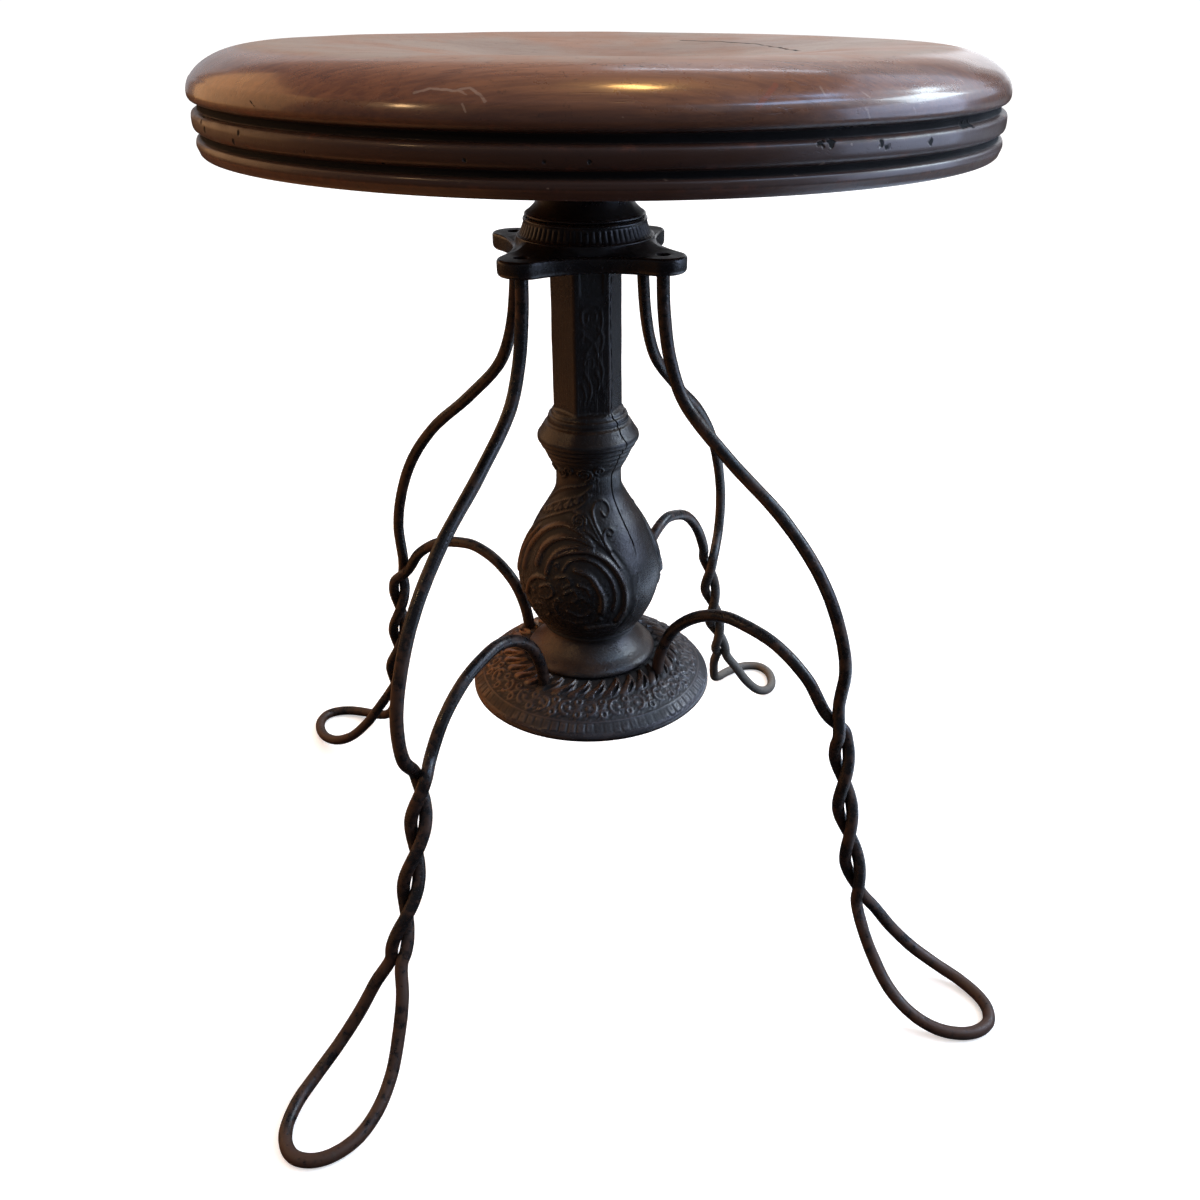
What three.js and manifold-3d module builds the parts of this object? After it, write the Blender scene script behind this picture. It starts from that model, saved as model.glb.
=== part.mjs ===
// Revolving piano stool: a turned wooden seat on a screw spindle, carried by an ebonised column
// between two castings, on four legs that are each one rod bent and twisted on itself.
// Millimetres, +Z up. The origin is on the stool's axis at floor level, with the legs along
// -Y, +X, +Y and -X. The seat is at the bottom of its travel.

import * as THREE from 'three';
import { mergeVertices } from 'three/addons/utils/BufferGeometryUtils.js';
import Module from 'manifold-3d';

const wasm = await Module();
wasm.setup();

// Fits
const fitGap = 0.3; // between pieces that touch
const overrun = 2; // of a cutter past the face it cuts

// Roundness, in facets
const seatFacets = 46;
const turnedFacets = 24;
const boreFacets = 16;
const smallFacets = 10;
const rodFacets = 8;
const arcSteps = 3;

// Legs, each one rod
const legSides = ['front', 'right', 'back', 'left'];
const legCount = legSides.length;
const rodDiameter = 6.35;
const rodStep = 8.2; // length of a facet along the rod
const legBelly = 148.5; // furthest reach of the outer strand above the twist
const twistTopReach = 144.3;
const twistTopHeight = 150.3;
const twistFootReach = 169;
const twistFootHeight = 57;
const twistTurns = 1.5; // between the first crossing and the foot loop
const twistBowShare = 0.55; // how far the twist's axis bows in from a straight line
const twistSteps = 18;
const strandGap = 0.6; // between the two twisted strands
const footReach = 243; // to the middle of the rod at the loop's tip
const footHalfWidth = 19.8;
const footWear = 0.4; // depth of the flat that the floor has worn under each loop
const archRise = 43.5; // of the inner strand above the flange's crown
const swayLimit = 1.6; // of a leg's sway, at the tip of its loop

// Base flange
const flangeRadius = 65.8;
const flangeLift = 131.5; // underside above the floor
const flangeHeight = 18.5;
const flangeRim = 4.3; // thickness of the rim
const flangeHollow = 10;
const flangeSeatRadius = 36.5; // flat crown under the column's foot
const flangeRodReach = 44;

// Nuts under the flange
const nutRadius = 6.35;
const nutHeight = 5.4;
const nutProud = 1.2; // of the rod's end below its nut

// Column
const columnLength = 215.2;
const turnedLength = 141.7; // turned stretch, from the foot to the hexagon
const vaseRadius = 37.9;
const hexRadius = 17.9;
const hexTurn = THREE.MathUtils.degToRad(15); // of a corner from -Y

// Tie screw and its washer
const tieRadius = 4;
const tieReach = 64; // of the shank into the column
const tieHeadRadius = 7.5;
const tieHeadHeight = 5;
const tieWasherRadius = 12;
const tieWasherThickness = 2;

// Cap
const capThickness = 8;
const capHeight = 21;
const capRodReach = 46;
const capTurn = THREE.MathUtils.degToRad(-4); // of the cap against the feet
const capLobeRadius = 11;
const capWaist = 35; // least half width, between two lobes
const capEdge = 1.2; // chamfer of the plate
const collarFootRadius = 33;
const collarTopRadius = 29.6;
const collarFootRise = 4.6; // of the collar's foot above the plate
const coveRadius = 44; // where the cove under the collar runs out on the plate
const rimWall = 2.5;
const rimDepth = 3;
const rodRecess = 1.5; // of the rod's end below the lobe's top

// Spindle and its threaded bush
const spindleRadius = 9.525;
const spindleLength = 162;
const spindleTip = 1.5;
const bushRadius = 12;
const bushFlangeRadius = 16;
const bushFlange = 3;
const bushLength = 36;
const boreBelow = 10; // depth of the column's bore below the spindle
const boreClearance = 0.9;

// Wear washer
const washerThickness = 2.4;

// Seat plate
const hubSkirtRadius = 28.8;
const hubSkirt = 1.2; // height of the skirt's edge
const hubStep = 0.4; // of the skirt above the hub's bearing face
const hubBearingRadius = 26;
const hubWaistRadius = 21.5;
const hubHeight = 29.8; // to the underside of the arms
const armThickness = 3.8;
const armReach = 74;
const armEndRadius = 11;
const armWaist = 26;
const armEdge = 0.8;
const hubFlareRadius = 34;
const hubTopWall = 4; // of plate left above the spindle's socket

// Cross pin
const pinRadius = 3;
const pinHeight = 18; // above the hub's bearing face

// Seat plate screws
const screwRadius = 2.2;
const screwHeadRadius = 4.4;
const screwHeadHeight = 2.4;
const screwGrip = 16; // in the seat

// Seat
const seatRadius = 178;
const seatThickness = 42;
const seatCrestInset = 32; // of the crest from the widest line
const seatRollHeight = 18; // of the crest above the widest line
const seatDish = 9;
const seatOffset = 8.8; // of the seat's middle from the spindle, as it was screwed on
const seatOffsetTurn = THREE.MathUtils.degToRad(34);
const seatLip = 1.3; // undercut of the roll
const grooveDepth = 2.8;

// How each leg was bent by hand: shares of the sizes above, and its turn about the stool's axis
// at the foot of the twist
const legBends = [
  {
    belly: 1.024, top: 0.972, topHeight: 0.997,
    foot: 0.994, footHeight: 1, tip: 1.002, arch: 0.915, sway: 0.4,
  },
  {
    belly: 1.01, top: 1.047, topHeight: 0.983,
    foot: 1, footHeight: 0.9, tip: 1.004, arch: 1.02, sway: 0.8,
  },
  {
    belly: 1.053, top: 0.97, topHeight: 0.971,
    foot: 1, footHeight: 1.03, tip: 1.031, arch: 1.106, sway: 2.3,
  },
  {
    belly: 0.993, top: 1.049, topHeight: 0.981,
    foot: 1, footHeight: 0.99, tip: 1.029, arch: 0.924, sway: -2.3,
  },
];

// Outer strand from the cap to the first crossing: share of the way up, share of the way out
const outerStrandShares = [
  [0.915, 0.008], [0.81, 0.045], [0.72, 0.125], [0.61, 0.36], [0.5, 0.64], [0.39, 0.832],
  [0.28, 0.945], [0.17, 1], [0.07, 0.985],
];

// Foot loop: share of its length, of its half width and of its fall
const footLoopShares = [
  [0.088, 0.44, 0.77], [0.2, 0.64, 0.52], [0.36, 0.865, 0.265], [0.54, 0.985, 0.106],
  [0.72, 0.955, 0.03], [0.88, 0.71, 0.004], [0.966, 0.39, 0],
];

// Inner strand from the crossing to the flange: share of the way out, share of the arch's rise
const innerStrandShares = [
  [0.92, 0.14], [0.81, 0.52], [0.64, 0.837], [0.464, 0.977], [0.365, 1], [0.227, 0.9],
  [0.099, 0.65], [0.03, 0.35], [0, 0.05],
];

// Turned stretch of the column: share of its length, share of the vase's radius
const turnedShares = [
  [0.01, 0.93], [0.022, 0.9], [0.05, 0.74], [0.1, 0.602], [0.125, 0.67], [0.138, 0.65],
  [0.155, 0.74], [0.215, 0.872], [0.285, 0.965], [0.354, 1], [0.425, 0.95], [0.495, 0.85],
  [0.564, 0.728], [0.63, 0.58], [0.686, 0.47], [0.726, 0.449], [0.766, 0.456], [0.805, 0.533],
  [0.864, 0.63], [0.88, 0.686], [0.896, 0.683], [0.915, 0.65], [0.96, 0.546],
];

// Flange's dome from the crown to the rim: share of the way out, share of the height
const domeShares = [[0.31, 0.88], [0.57, 0.708], [0.76, 0.514], [0.91, 0.324], [0.99, 0.205], [1, 0.1]];

// Seat plate's hub from the skirt up to the arms: share of its height, share of the skirt's radius
const hubShares = [[0.06, 0.92], [0.15, 0.83], [0.27, 0.775], [0.45, 0.747], [0.74, 0.77]];

// Seat's edge under the roll: share of the thickness; the radius follows from the groove's depth
const edgeShares = {
  lip: 0.5, grooveFoot: 0.412, bandMiddle: 0.32, bandFoot: 0.224, beadTop: 0.155, arris: 0.086,
};

// Widths that the band, bead and bevel stand in from the widest line
const bandInset = 0.6;
const beadInset = 1.2;
const bevelInset = 2.6;

// Heights and radii that follow
const rodRadius = rodDiameter / 2;
const rodHoleRadius = rodRadius + fitGap;
const footHeight = rodRadius - footWear;
const flangeCrown = flangeLift + flangeHeight;
const flangeCeiling = flangeLift + flangeHollow;
const columnFoot = flangeCrown + fitGap;
const columnTop = columnFoot + columnLength;
const capFoot = columnTop + fitGap;
const capTop = capFoot + capHeight;
const lobeTop = capFoot + capThickness;
const rimFloor = capTop - rimDepth;
const rimRadius = collarTopRadius - rimWall;
const bushTop = rimFloor;
const bushFoot = bushTop - bushLength;
const bushBore = spindleRadius + fitGap + fitGap / 2;
const washerFoot = rimFloor + fitGap;
const hubFoot = washerFoot + washerThickness + fitGap;
const armFoot = hubFoot + hubHeight;
const plateTop = armFoot + armThickness;
const socketTop = plateTop - hubTopWall;
const spindleTop = socketTop - fitGap;
const spindleFoot = spindleTop - spindleLength;
const columnBore = spindleRadius + boreClearance;
const seatFoot = plateTop + fitGap;
const seatCrest = seatFoot + seatThickness;
const twistRadius = rodRadius + strandGap / 2;
const tieWasherTop = flangeCeiling - fitGap;
const tieHeadTop = tieWasherTop - tieWasherThickness - fitGap;
const nutTop = flangeCeiling - fitGap;
const rodEnd = nutTop - nutHeight - nutProud;

const between = (low, high, share) => low + (high - low) * share;

// Turn a mesh inside out where its faces point inwards.
function facingOut(geometry) {
  const p = geometry.getAttribute('position');
  const index = geometry.getIndex();
  const [a, b, c] = [new THREE.Vector3(), new THREE.Vector3(), new THREE.Vector3()];
  let volume = 0;
  for (let i = 0; i < index.count; i += 3) {
    a.fromBufferAttribute(p, index.getX(i));
    b.fromBufferAttribute(p, index.getX(i + 1));
    c.fromBufferAttribute(p, index.getX(i + 2));
    volume += a.dot(b.cross(c));
  }
  if (volume < 0) {
    for (let i = 0; i < index.count; i += 3) {
      const second = index.getX(i + 1);
      index.setX(i + 1, index.getX(i + 2));
      index.setX(i + 2, second);
    }
  }
  return geometry;
}

// Merge a geometry's shared corners and drop the faces that this leaves with no area.
function welded(geometry) {
  const bare = geometry.clone();
  bare.deleteAttribute('normal');
  bare.deleteAttribute('uv');
  const merged = mergeVertices(bare);
  const index = merged.getIndex();
  const kept = [];
  for (let i = 0; i < index.count; i += 3) {
    const [a, b, c] = [index.getX(i), index.getX(i + 1), index.getX(i + 2)];
    if (a !== b && b !== c && c !== a) kept.push(a, b, c);
  }
  merged.setIndex(kept);
  return facingOut(merged);
}

// A geometry as a solid that can be cut and joined.
function solid(geometry) {
  const mesh = welded(geometry);
  return new wasm.Manifold(new wasm.Mesh({
    numProp: 3,
    vertProperties: Float32Array.from(mesh.getAttribute('position').array),
    triVerts: Uint32Array.from(mesh.getIndex().array),
  }));
}

// A solid as a geometry again.
function geometryOf(body) {
  const mesh = body.getMesh();
  const geometry = new THREE.BufferGeometry();
  geometry.setAttribute('position', new THREE.BufferAttribute(Float32Array.from(mesh.vertProperties), 3));
  geometry.setIndex(Array.from(mesh.triVerts));
  geometry.computeVertexNormals();
  return geometry;
}

// Turn a profile of [radius, height] points about +Z.
function turned(profile, facets = turnedFacets) {
  const points = profile.map(([radius, height]) => new THREE.Vector2(radius, height));
  return new THREE.LatheGeometry(points, facets).rotateX(Math.PI / 2);
}

// A straight round or polygonal bar from one height to another.
function bar(radius, low, high, facets = boreFacets) {
  return new THREE.CylinderGeometry(radius, radius, high - low, facets)
    .rotateX(Math.PI / 2)
    .translate(0, 0, (low + high) / 2);
}

// A bar whose radius changes from its foot to its top.
function taper(footRadius, topRadius, low, high, facets = smallFacets) {
  return new THREE.CylinderGeometry(topRadius, footRadius, high - low, facets)
    .rotateX(Math.PI / 2)
    .translate(0, 0, (low + high) / 2);
}

// The places of a pattern of legCount pieces around the axis.
function around(reach, turn = 0) {
  return Array.from({ length: legCount }, (_, k) => {
    const azimuth = turn + (k * 2 * Math.PI) / legCount;
    return [reach * Math.cos(azimuth), reach * Math.sin(azimuth)];
  });
}

// Outline of a plate with a round lobe for each leg, joined by hollow arcs tangent to the lobes.
function lobedOutline(reach, lobeRadius, waist) {
  const step = (2 * Math.PI) / legCount;
  const half = step / 2;
  // Distance of a hollow arc's centre from the axis, from the law of cosines
  const side = lobeRadius - waist;
  const centre = (reach * reach - side * side) / (2 * (side + reach * Math.cos(half)));
  const hollowRadius = centre - waist;
  const tangent = Math.atan2(centre * Math.sin(half), centre * Math.cos(half) - reach);
  const outline = new THREE.Shape();
  for (let k = 0; k < legCount; k += 1) {
    const azimuth = k * step;
    const [x, y] = [reach * Math.cos(azimuth), reach * Math.sin(azimuth)];
    outline.absarc(x, y, lobeRadius, azimuth - tangent, azimuth + tangent, false);
    const middle = azimuth + half;
    const [cx, cy] = [centre * Math.cos(middle), centre * Math.sin(middle)];
    const start = azimuth + tangent + Math.PI;
    const end = azimuth + step - tangent - Math.PI;
    outline.absarc(cx, cy, hollowRadius, start, end + 2 * Math.PI, true);
  }
  return outline;
}

// A lobed plate between two heights with chamfered edges.
function lobedPlate(outline, low, high, edge) {
  return new THREE.ExtrudeGeometry(outline, {
    depth: high - low - 2 * edge,
    curveSegments: arcSteps,
    bevelThickness: edge,
    bevelSize: edge,
    bevelOffset: -edge,
    bevelSegments: 1,
  }).translate(0, 0, low + edge);
}

// Centre line of one leg's rod, with the leg standing out along +X before it sways to one side.
function legPath(bend) {
  const belly = legBelly * bend.belly;
  const [topReach, topHeight] = [twistTopReach * bend.top, twistTopHeight * bend.topHeight];
  const [endReach, endHeight] = [twistFootReach * bend.foot, twistFootHeight * bend.footHeight];
  const tipReach = footReach * bend.tip;
  const points = [];
  const axis = new THREE.Vector3(0, 0, 1);
  const put = (reach, sideways, height) => {
    const grown = (reach - capRodReach) / (twistFootReach - capRodReach);
    const turn = THREE.MathUtils.degToRad(bend.sway) * THREE.MathUtils.clamp(grown, 0, swayLimit);
    points.push(new THREE.Vector3(reach, sideways, height).applyAxisAngle(axis, turn));
  };

  // Outer strand, straight in the cap's lobe and then out to the belly
  const [capReach, capSide] = [capRodReach * Math.cos(capTurn), capRodReach * Math.sin(capTurn)];
  put(capReach, capSide, lobeTop - rodRecess);
  put(capReach, capSide, capFoot);
  for (const [upShare, outShare] of outerStrandShares) {
    const sideways = capSide * Math.max(0, 1 - outShare);
    put(between(capReach, belly, outShare), sideways, between(topHeight, capFoot, upShare));
  }

  // A strand of the twist: a helix about an axis that bows outwards to the foot
  const bowed = (share) => share * (1 - twistBowShare * (1 - share));
  const strand = (share, phase) => {
    const slope = (endReach - topReach) * (1 - twistBowShare + 2 * twistBowShare * share);
    const fall = topHeight - endHeight;
    const length = Math.hypot(slope, fall);
    const angle = phase - share * twistTurns * 2 * Math.PI;
    const out = twistRadius * Math.cos(angle);
    put(
      between(topReach, endReach, bowed(share)) + (out * fall) / length,
      twistRadius * Math.sin(angle),
      between(topHeight, endHeight, share) + (out * slope) / length,
    );
  };
  for (let i = 0; i <= twistSteps; i += 1) strand(i / twistSteps, -Math.PI / 2);

  // Foot loop, out along one side, round the tip and back along the other
  const loopPoint = ([alongShare, wideShare, upShare], side) => put(
    between(endReach, tipReach, alongShare),
    side * between(0, footHalfWidth, wideShare),
    between(footHeight, endHeight, upShare),
  );
  for (const row of footLoopShares) loopPoint(row, 1);
  put(tipReach, 0, footHeight);
  for (const row of [...footLoopShares].reverse()) loopPoint(row, -1);

  // Back up the twist, and over the arch into the flange
  for (let i = twistSteps; i >= 0; i -= 1) strand(i / twistSteps, Math.PI / 2);
  for (const [outShare, upShare] of innerStrandShares) {
    const height = flangeCrown + archRise * bend.arch * upShare;
    put(between(flangeRodReach, topReach, outShare), 0, height);
  }
  put(flangeRodReach, 0, flangeCeiling);
  put(flangeRodReach, 0, rodEnd);
  return new THREE.CatmullRomCurve3(points, false, 'centripetal');
}

// One leg along +X, worn flat where its loop meets the floor.
function leg(bend) {
  const path = legPath(bend);
  const section = new THREE.Shape().absarc(0, 0, rodRadius, 0, 2 * Math.PI);
  const rod = new THREE.ExtrudeGeometry(section, {
    steps: Math.round(path.getLength() / rodStep),
    curveSegments: rodFacets / 2,
    extrudePath: path,
  });
  const floor = new THREE.BoxGeometry(2 * footReach, 2 * footReach, overrun)
    .translate(footReach, 0, -overrun / 2);
  return geometryOf(solid(rod).subtract(solid(floor)));
}

// Base flange: a shallow dome, hollow below, with holes for the tie screw and the rods.
function baseFlange() {
  const dome = domeShares.map(([outShare, upShare]) => [
    between(flangeSeatRadius, flangeRadius, outShare),
    flangeLift + flangeHeight * upShare,
  ]);
  const hollowRadius = flangeRadius - flangeRim;
  let body = solid(turned([
    [0, flangeCeiling],
    [flangeRodReach + nutRadius, flangeCeiling],
    [hollowRadius - flangeRim, flangeLift + flangeHollow / 2],
    [hollowRadius, flangeLift],
    [flangeRadius - fitGap, flangeLift],
    ...[...dome].reverse(),
    [flangeSeatRadius, flangeCrown],
    [0, flangeCrown],
  ]));
  const [low, high] = [flangeLift, flangeCrown + overrun];
  body = body.subtract(solid(bar(tieRadius + fitGap, low, high, smallFacets)));
  for (const [x, y] of around(flangeRodReach)) {
    body = body.subtract(solid(bar(rodHoleRadius, low, high, smallFacets).translate(x, y, 0)));
  }
  return geometryOf(body);
}

// Nut on a rod's end, under the flange.
function legNut() {
  const blank = bar(nutRadius, nutTop - nutHeight, nutTop, 6);
  const hole = bar(rodHoleRadius, nutTop - nutHeight - overrun, nutTop + overrun, smallFacets);
  return geometryOf(solid(blank).subtract(solid(hole)));
}

// Tie screw, from below the flange up into the column's foot.
function tieScrew() {
  const head = bar(tieHeadRadius, tieHeadTop - tieHeadHeight, tieHeadTop, 6);
  const tip = columnFoot + tieReach;
  const shank = bar(tieRadius, tieHeadTop - tieHeadHeight / 2, tip - tieRadius, smallFacets);
  const point = taper(tieRadius, tieRadius / 4, tip - tieRadius, tip);
  return geometryOf(solid(head).add(solid(shank)).add(solid(point)));
}

// Washer under the tie screw's head.
function tieWasher() {
  const foot = tieWasherTop - tieWasherThickness;
  const disc = bar(tieWasherRadius, foot, tieWasherTop);
  const hole = bar(tieRadius + fitGap, foot - overrun, tieWasherTop + overrun, smallFacets);
  return geometryOf(solid(disc).subtract(solid(hole)));
}

// Column: a turned foot, vase, neck and collar under a hexagonal shaft, bored from both ends.
function column() {
  const profile = turnedShares.map(([upShare, outShare]) => [
    vaseRadius * outShare,
    columnFoot + turnedLength * upShare,
  ]);
  const [, footShare] = turnedShares[0];
  const shaftFoot = columnFoot + turnedLength;
  let body = solid(turned([
    [0, columnFoot],
    [vaseRadius * footShare - fitGap, columnFoot],
    ...profile,
    [hexRadius * Math.cos(Math.PI / 6), shaftFoot],
    [0, shaftFoot],
  ]));
  const shaft = bar(hexRadius, shaftFoot - overrun, columnTop, 6).rotateZ(hexTurn);
  body = body.add(solid(shaft));
  const spindleBore = bar(columnBore, spindleFoot - boreBelow, columnTop + overrun);
  const bushBoreCut = bar(bushRadius + fitGap, bushFoot - fitGap, columnTop + overrun);
  const pilot = bar(tieRadius + fitGap, columnFoot - overrun, columnFoot + tieReach + fitGap, smallFacets);
  return geometryOf(body.subtract(solid(spindleBore)).subtract(solid(bushBoreCut)).subtract(solid(pilot)));
}

// Cap: a lobed plate with a cove and a tapered collar that carries the bush and the wear washer.
function cap() {
  const outline = lobedOutline(capRodReach, capLobeRadius, capWaist);
  const plate = solid(lobedPlate(outline, capFoot, lobeTop, capEdge).rotateZ(capTurn));
  const collarFoot = lobeTop + collarFootRise;
  const collar = solid(turned([
    [0, capFoot + capThickness / 2],
    [coveRadius, capFoot + capThickness / 2],
    [coveRadius, lobeTop],
    [between(collarFootRadius, coveRadius, 0.5), lobeTop + collarFootRise / 4],
    [between(collarFootRadius, coveRadius, 0.15), lobeTop + collarFootRise / 2],
    [collarFootRadius, collarFoot],
    [collarFootRadius - capEdge, collarFoot],
    [collarTopRadius, capTop - capEdge],
    [collarTopRadius - capEdge / 2, capTop],
    [0, capTop],
  ]));
  const innerOutline = lobedOutline(capRodReach, capLobeRadius - capEdge, capWaist - capEdge);
  const inside = new THREE.ExtrudeGeometry(innerOutline, {
    depth: capHeight,
    curveSegments: arcSteps,
    bevelEnabled: false,
  }).translate(0, 0, capFoot).rotateZ(capTurn);
  let body = plate.add(collar.intersect(solid(inside)));
  body = body.subtract(solid(bar(rimRadius, rimFloor, capTop + overrun, turnedFacets)));
  const bushSeat = bushTop - bushFlange - fitGap;
  body = body.subtract(solid(bar(bushFlangeRadius + fitGap, bushSeat, capTop, turnedFacets)));
  body = body.subtract(solid(bar(bushRadius + fitGap, capFoot - overrun, capTop)));
  for (const [x, y] of around(capRodReach, capTurn)) {
    const hole = bar(rodHoleRadius, capFoot - overrun, lobeTop + overrun, smallFacets);
    body = body.subtract(solid(hole.translate(x, y, 0)));
  }
  return geometryOf(body);
}

// Threaded bush in the cap. Its thread is left plain.
function spindleNut() {
  return turned([
    [bushBore, bushFoot],
    [bushRadius, bushFoot],
    [bushRadius, bushTop - bushFlange],
    [bushFlangeRadius, bushTop - bushFlange],
    [bushFlangeRadius, bushTop],
    [bushBore, bushTop],
    [bushBore, bushFoot],
  ], boreFacets);
}

// Loose washer that the hub turns on.
function wearWasher() {
  const [inner, outer] = [spindleRadius + boreClearance, rimRadius - boreClearance];
  const top = washerFoot + washerThickness;
  const ring = [[inner, washerFoot], [outer, washerFoot], [outer, top], [inner, top], [inner, washerFoot]];
  return turned(ring, boreFacets);
}

// Spindle with a chamfered tip and a cross hole for its pin. Its thread is left plain.
function spindle() {
  const shaft = solid(turned([
    [0, spindleFoot],
    [spindleRadius - spindleTip, spindleFoot],
    [spindleRadius, spindleFoot + spindleTip],
    [spindleRadius, spindleTop],
    [0, spindleTop],
  ], boreFacets));
  return geometryOf(shaft.subtract(solid(crossBar(pinRadius + fitGap, 2 * hubSkirtRadius))));
}

// A bar across the hub at the pin's height.
function crossBar(radius, length) {
  return new THREE.CylinderGeometry(radius, radius, length, smallFacets)
    .translate(0, 0, hubFoot + pinHeight);
}

// Seat plate: a bell-shaped hub under four arms, with countersunk screw holes.
function seatPlate() {
  const flare = hubShares.map(([upShare, outShare]) => [
    hubSkirtRadius * outShare,
    hubFoot + hubStep + hubSkirt + (hubHeight - hubStep - hubSkirt) * upShare,
  ]);
  const hub = solid(turned([
    [0, hubFoot],
    [hubBearingRadius, hubFoot],
    [hubBearingRadius, hubFoot + hubStep],
    [hubSkirtRadius, hubFoot + hubStep],
    [hubSkirtRadius, hubFoot + hubStep + hubSkirt],
    ...flare,
    [hubFlareRadius, armFoot],
    [hubFlareRadius, plateTop],
    [0, plateTop],
  ]));
  const arms = lobedPlate(lobedOutline(armReach, armEndRadius, armWaist), armFoot, plateTop, armEdge);
  let body = hub.add(solid(arms));
  body = body.subtract(solid(bar(spindleRadius + fitGap, hubFoot - overrun, socketTop)));
  body = body.subtract(solid(crossBar(pinRadius + fitGap, 2 * hubSkirtRadius)));
  for (const [x, y] of around(armReach)) {
    const hole = bar(screwRadius + fitGap, armFoot - overrun, plateTop + overrun, smallFacets);
    const sink = taper(
      screwHeadRadius + fitGap, screwRadius + fitGap, armFoot - fitGap, armFoot + screwHeadHeight + fitGap,
    );
    body = body.subtract(solid(hole.translate(x, y, 0))).subtract(solid(sink.translate(x, y, 0)));
  }
  return geometryOf(body);
}

// Cross pin through the hub and the spindle.
function spindlePin() {
  return crossBar(pinRadius, 2 * (hubWaistRadius - fitGap));
}

// Countersunk wood screw that holds the seat plate to the seat.
function plateScrew() {
  const tip = plateTop + screwGrip;
  const head = solid(taper(screwHeadRadius, screwRadius, armFoot, armFoot + screwHeadHeight));
  const shank = solid(bar(screwRadius, armFoot + screwHeadHeight / 2, tip - screwRadius, smallFacets));
  const point = solid(taper(screwRadius, screwRadius / 4, tip - screwRadius, tip));
  return geometryOf(head.add(shank).add(point));
}

// Seat: a dished top with a rolled edge, over a groove, a band, a groove, a bead and a bevel.
function seat() {
  const widest = seatCrest - seatRollHeight;
  const crestRadius = seatRadius - seatCrestInset;
  const rollSteps = 5;
  const roll = Array.from({ length: rollSteps + 1 }, (_, i) => {
    const angle = (i / rollSteps) * (Math.PI / 2);
    return [crestRadius + seatCrestInset * Math.cos(angle), widest + seatRollHeight * Math.sin(angle)];
  });
  const dishSteps = 3;
  const dish = Array.from({ length: dishSteps }, (_, i) => {
    const share = 1 - (i + 1) / dishSteps;
    // The dish falls like a cosine from the crest to the middle
    return [crestRadius * share, seatCrest - (seatDish * (1 + Math.cos(Math.PI * share))) / 2];
  });
  const up = (share) => seatFoot + seatThickness * share;
  const floorRadius = seatRadius - bandInset - grooveDepth;
  const profile = turned([
    [0, seatFoot],
    [seatRadius - bevelInset, seatFoot],
    [seatRadius - beadInset, up(edgeShares.arris)],
    [seatRadius - beadInset - fitGap, up(edgeShares.beadTop)],
    [floorRadius, up(edgeShares.beadTop)],
    [floorRadius, up(edgeShares.bandFoot)],
    [seatRadius - bandInset - beadInset, up(edgeShares.bandFoot)],
    [seatRadius - bandInset, up(edgeShares.bandMiddle)],
    [seatRadius - bandInset - beadInset, up(edgeShares.grooveFoot)],
    [floorRadius, up(edgeShares.grooveFoot)],
    [floorRadius, up(edgeShares.lip)],
    [seatRadius - seatLip, up(edgeShares.lip)],
    ...roll,
    ...dish,
  ], seatFacets);
  let body = solid(profile.translate(seatOffset, 0, 0).rotateZ(seatOffsetTurn));
  for (const [x, y] of around(armReach)) {
    const pilot = bar(screwRadius + fitGap, seatFoot - overrun, seatFoot + screwGrip, smallFacets);
    body = body.subtract(solid(pilot.translate(x, y, 0)));
  }
  return geometryOf(body);
}

// Finishes
const finish = (color, roughness, metalness) => new THREE.MeshStandardMaterial({
  color, roughness, metalness,
});
const polishedWood = () => finish(0x4a2418, 0.35, 0);
const ebonisedWood = () => finish(0x1d1a19, 0.6, 0);
const japannedIron = () => finish(0x17171a, 0.5, 0.6);
const agedSteel = () => finish(0x2b2320, 0.45, 0.8);
const brightSteel = () => finish(0x6b6a68, 0.35, 1);

const stool = new THREE.Group();

// Put a named piece in a group.
function place(group, name, geometry, material) {
  const mesh = new THREE.Mesh(geometry, material);
  mesh.name = name;
  group.add(mesh);
  return mesh;
}

// The frame stands still
const frame = new THREE.Group();
const nutGeometry = legNut().translate(flangeRodReach, 0, 0);
legSides.forEach((side, k) => {
  const corner = new THREE.Group();
  place(corner, `leg_${side}`, leg(legBends[k]), agedSteel());
  place(corner, `leg_nut_${side}`, nutGeometry, agedSteel());
  corner.rotation.z = ((k - 1) * 2 * Math.PI) / legCount;
  frame.add(corner);
});
place(frame, 'base_flange', baseFlange(), japannedIron());
place(frame, 'tie_screw', tieScrew(), brightSteel());
place(frame, 'tie_washer', tieWasher(), brightSteel());
place(frame, 'column', column(), ebonisedWood());
place(frame, 'cap', cap(), japannedIron());
place(frame, 'spindle_nut', spindleNut(), brightSteel());
stool.add(frame);

// The washer turns with the hub, and stays in the cap
place(stool, 'wear_washer', wearWasher(), brightSteel());

// The seat turns on its spindle and rises with it
const turning = new THREE.Group();
place(turning, 'spindle', spindle(), brightSteel());
place(turning, 'spindle_pin', spindlePin(), brightSteel());
place(turning, 'seat_plate', seatPlate(), japannedIron());
const screwGeometry = plateScrew();
around(armReach).forEach(([x, y], i) => {
  place(turning, `seat_plate_screw_${i + 1}`, screwGeometry, brightSteel()).position.set(x, y, 0);
});
place(turning, 'seat', seat(), polishedWood());
stool.add(turning);

export default stool;
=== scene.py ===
"""Looks of a revolving piano stool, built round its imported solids.

Lengths in the classes are millimetres in the row's frame, angles are degrees about the stool's
axis, and meshes go into Blender in metres. Each new surface is a grid of points worked out as
whole arrays, and stands for the CAD node of its own name.
"""

import logging
import math
from dataclasses import dataclass, field, replace
from enum import Enum

import bpy
import numpy as np
from mathutils import Matrix, Vector


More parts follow.
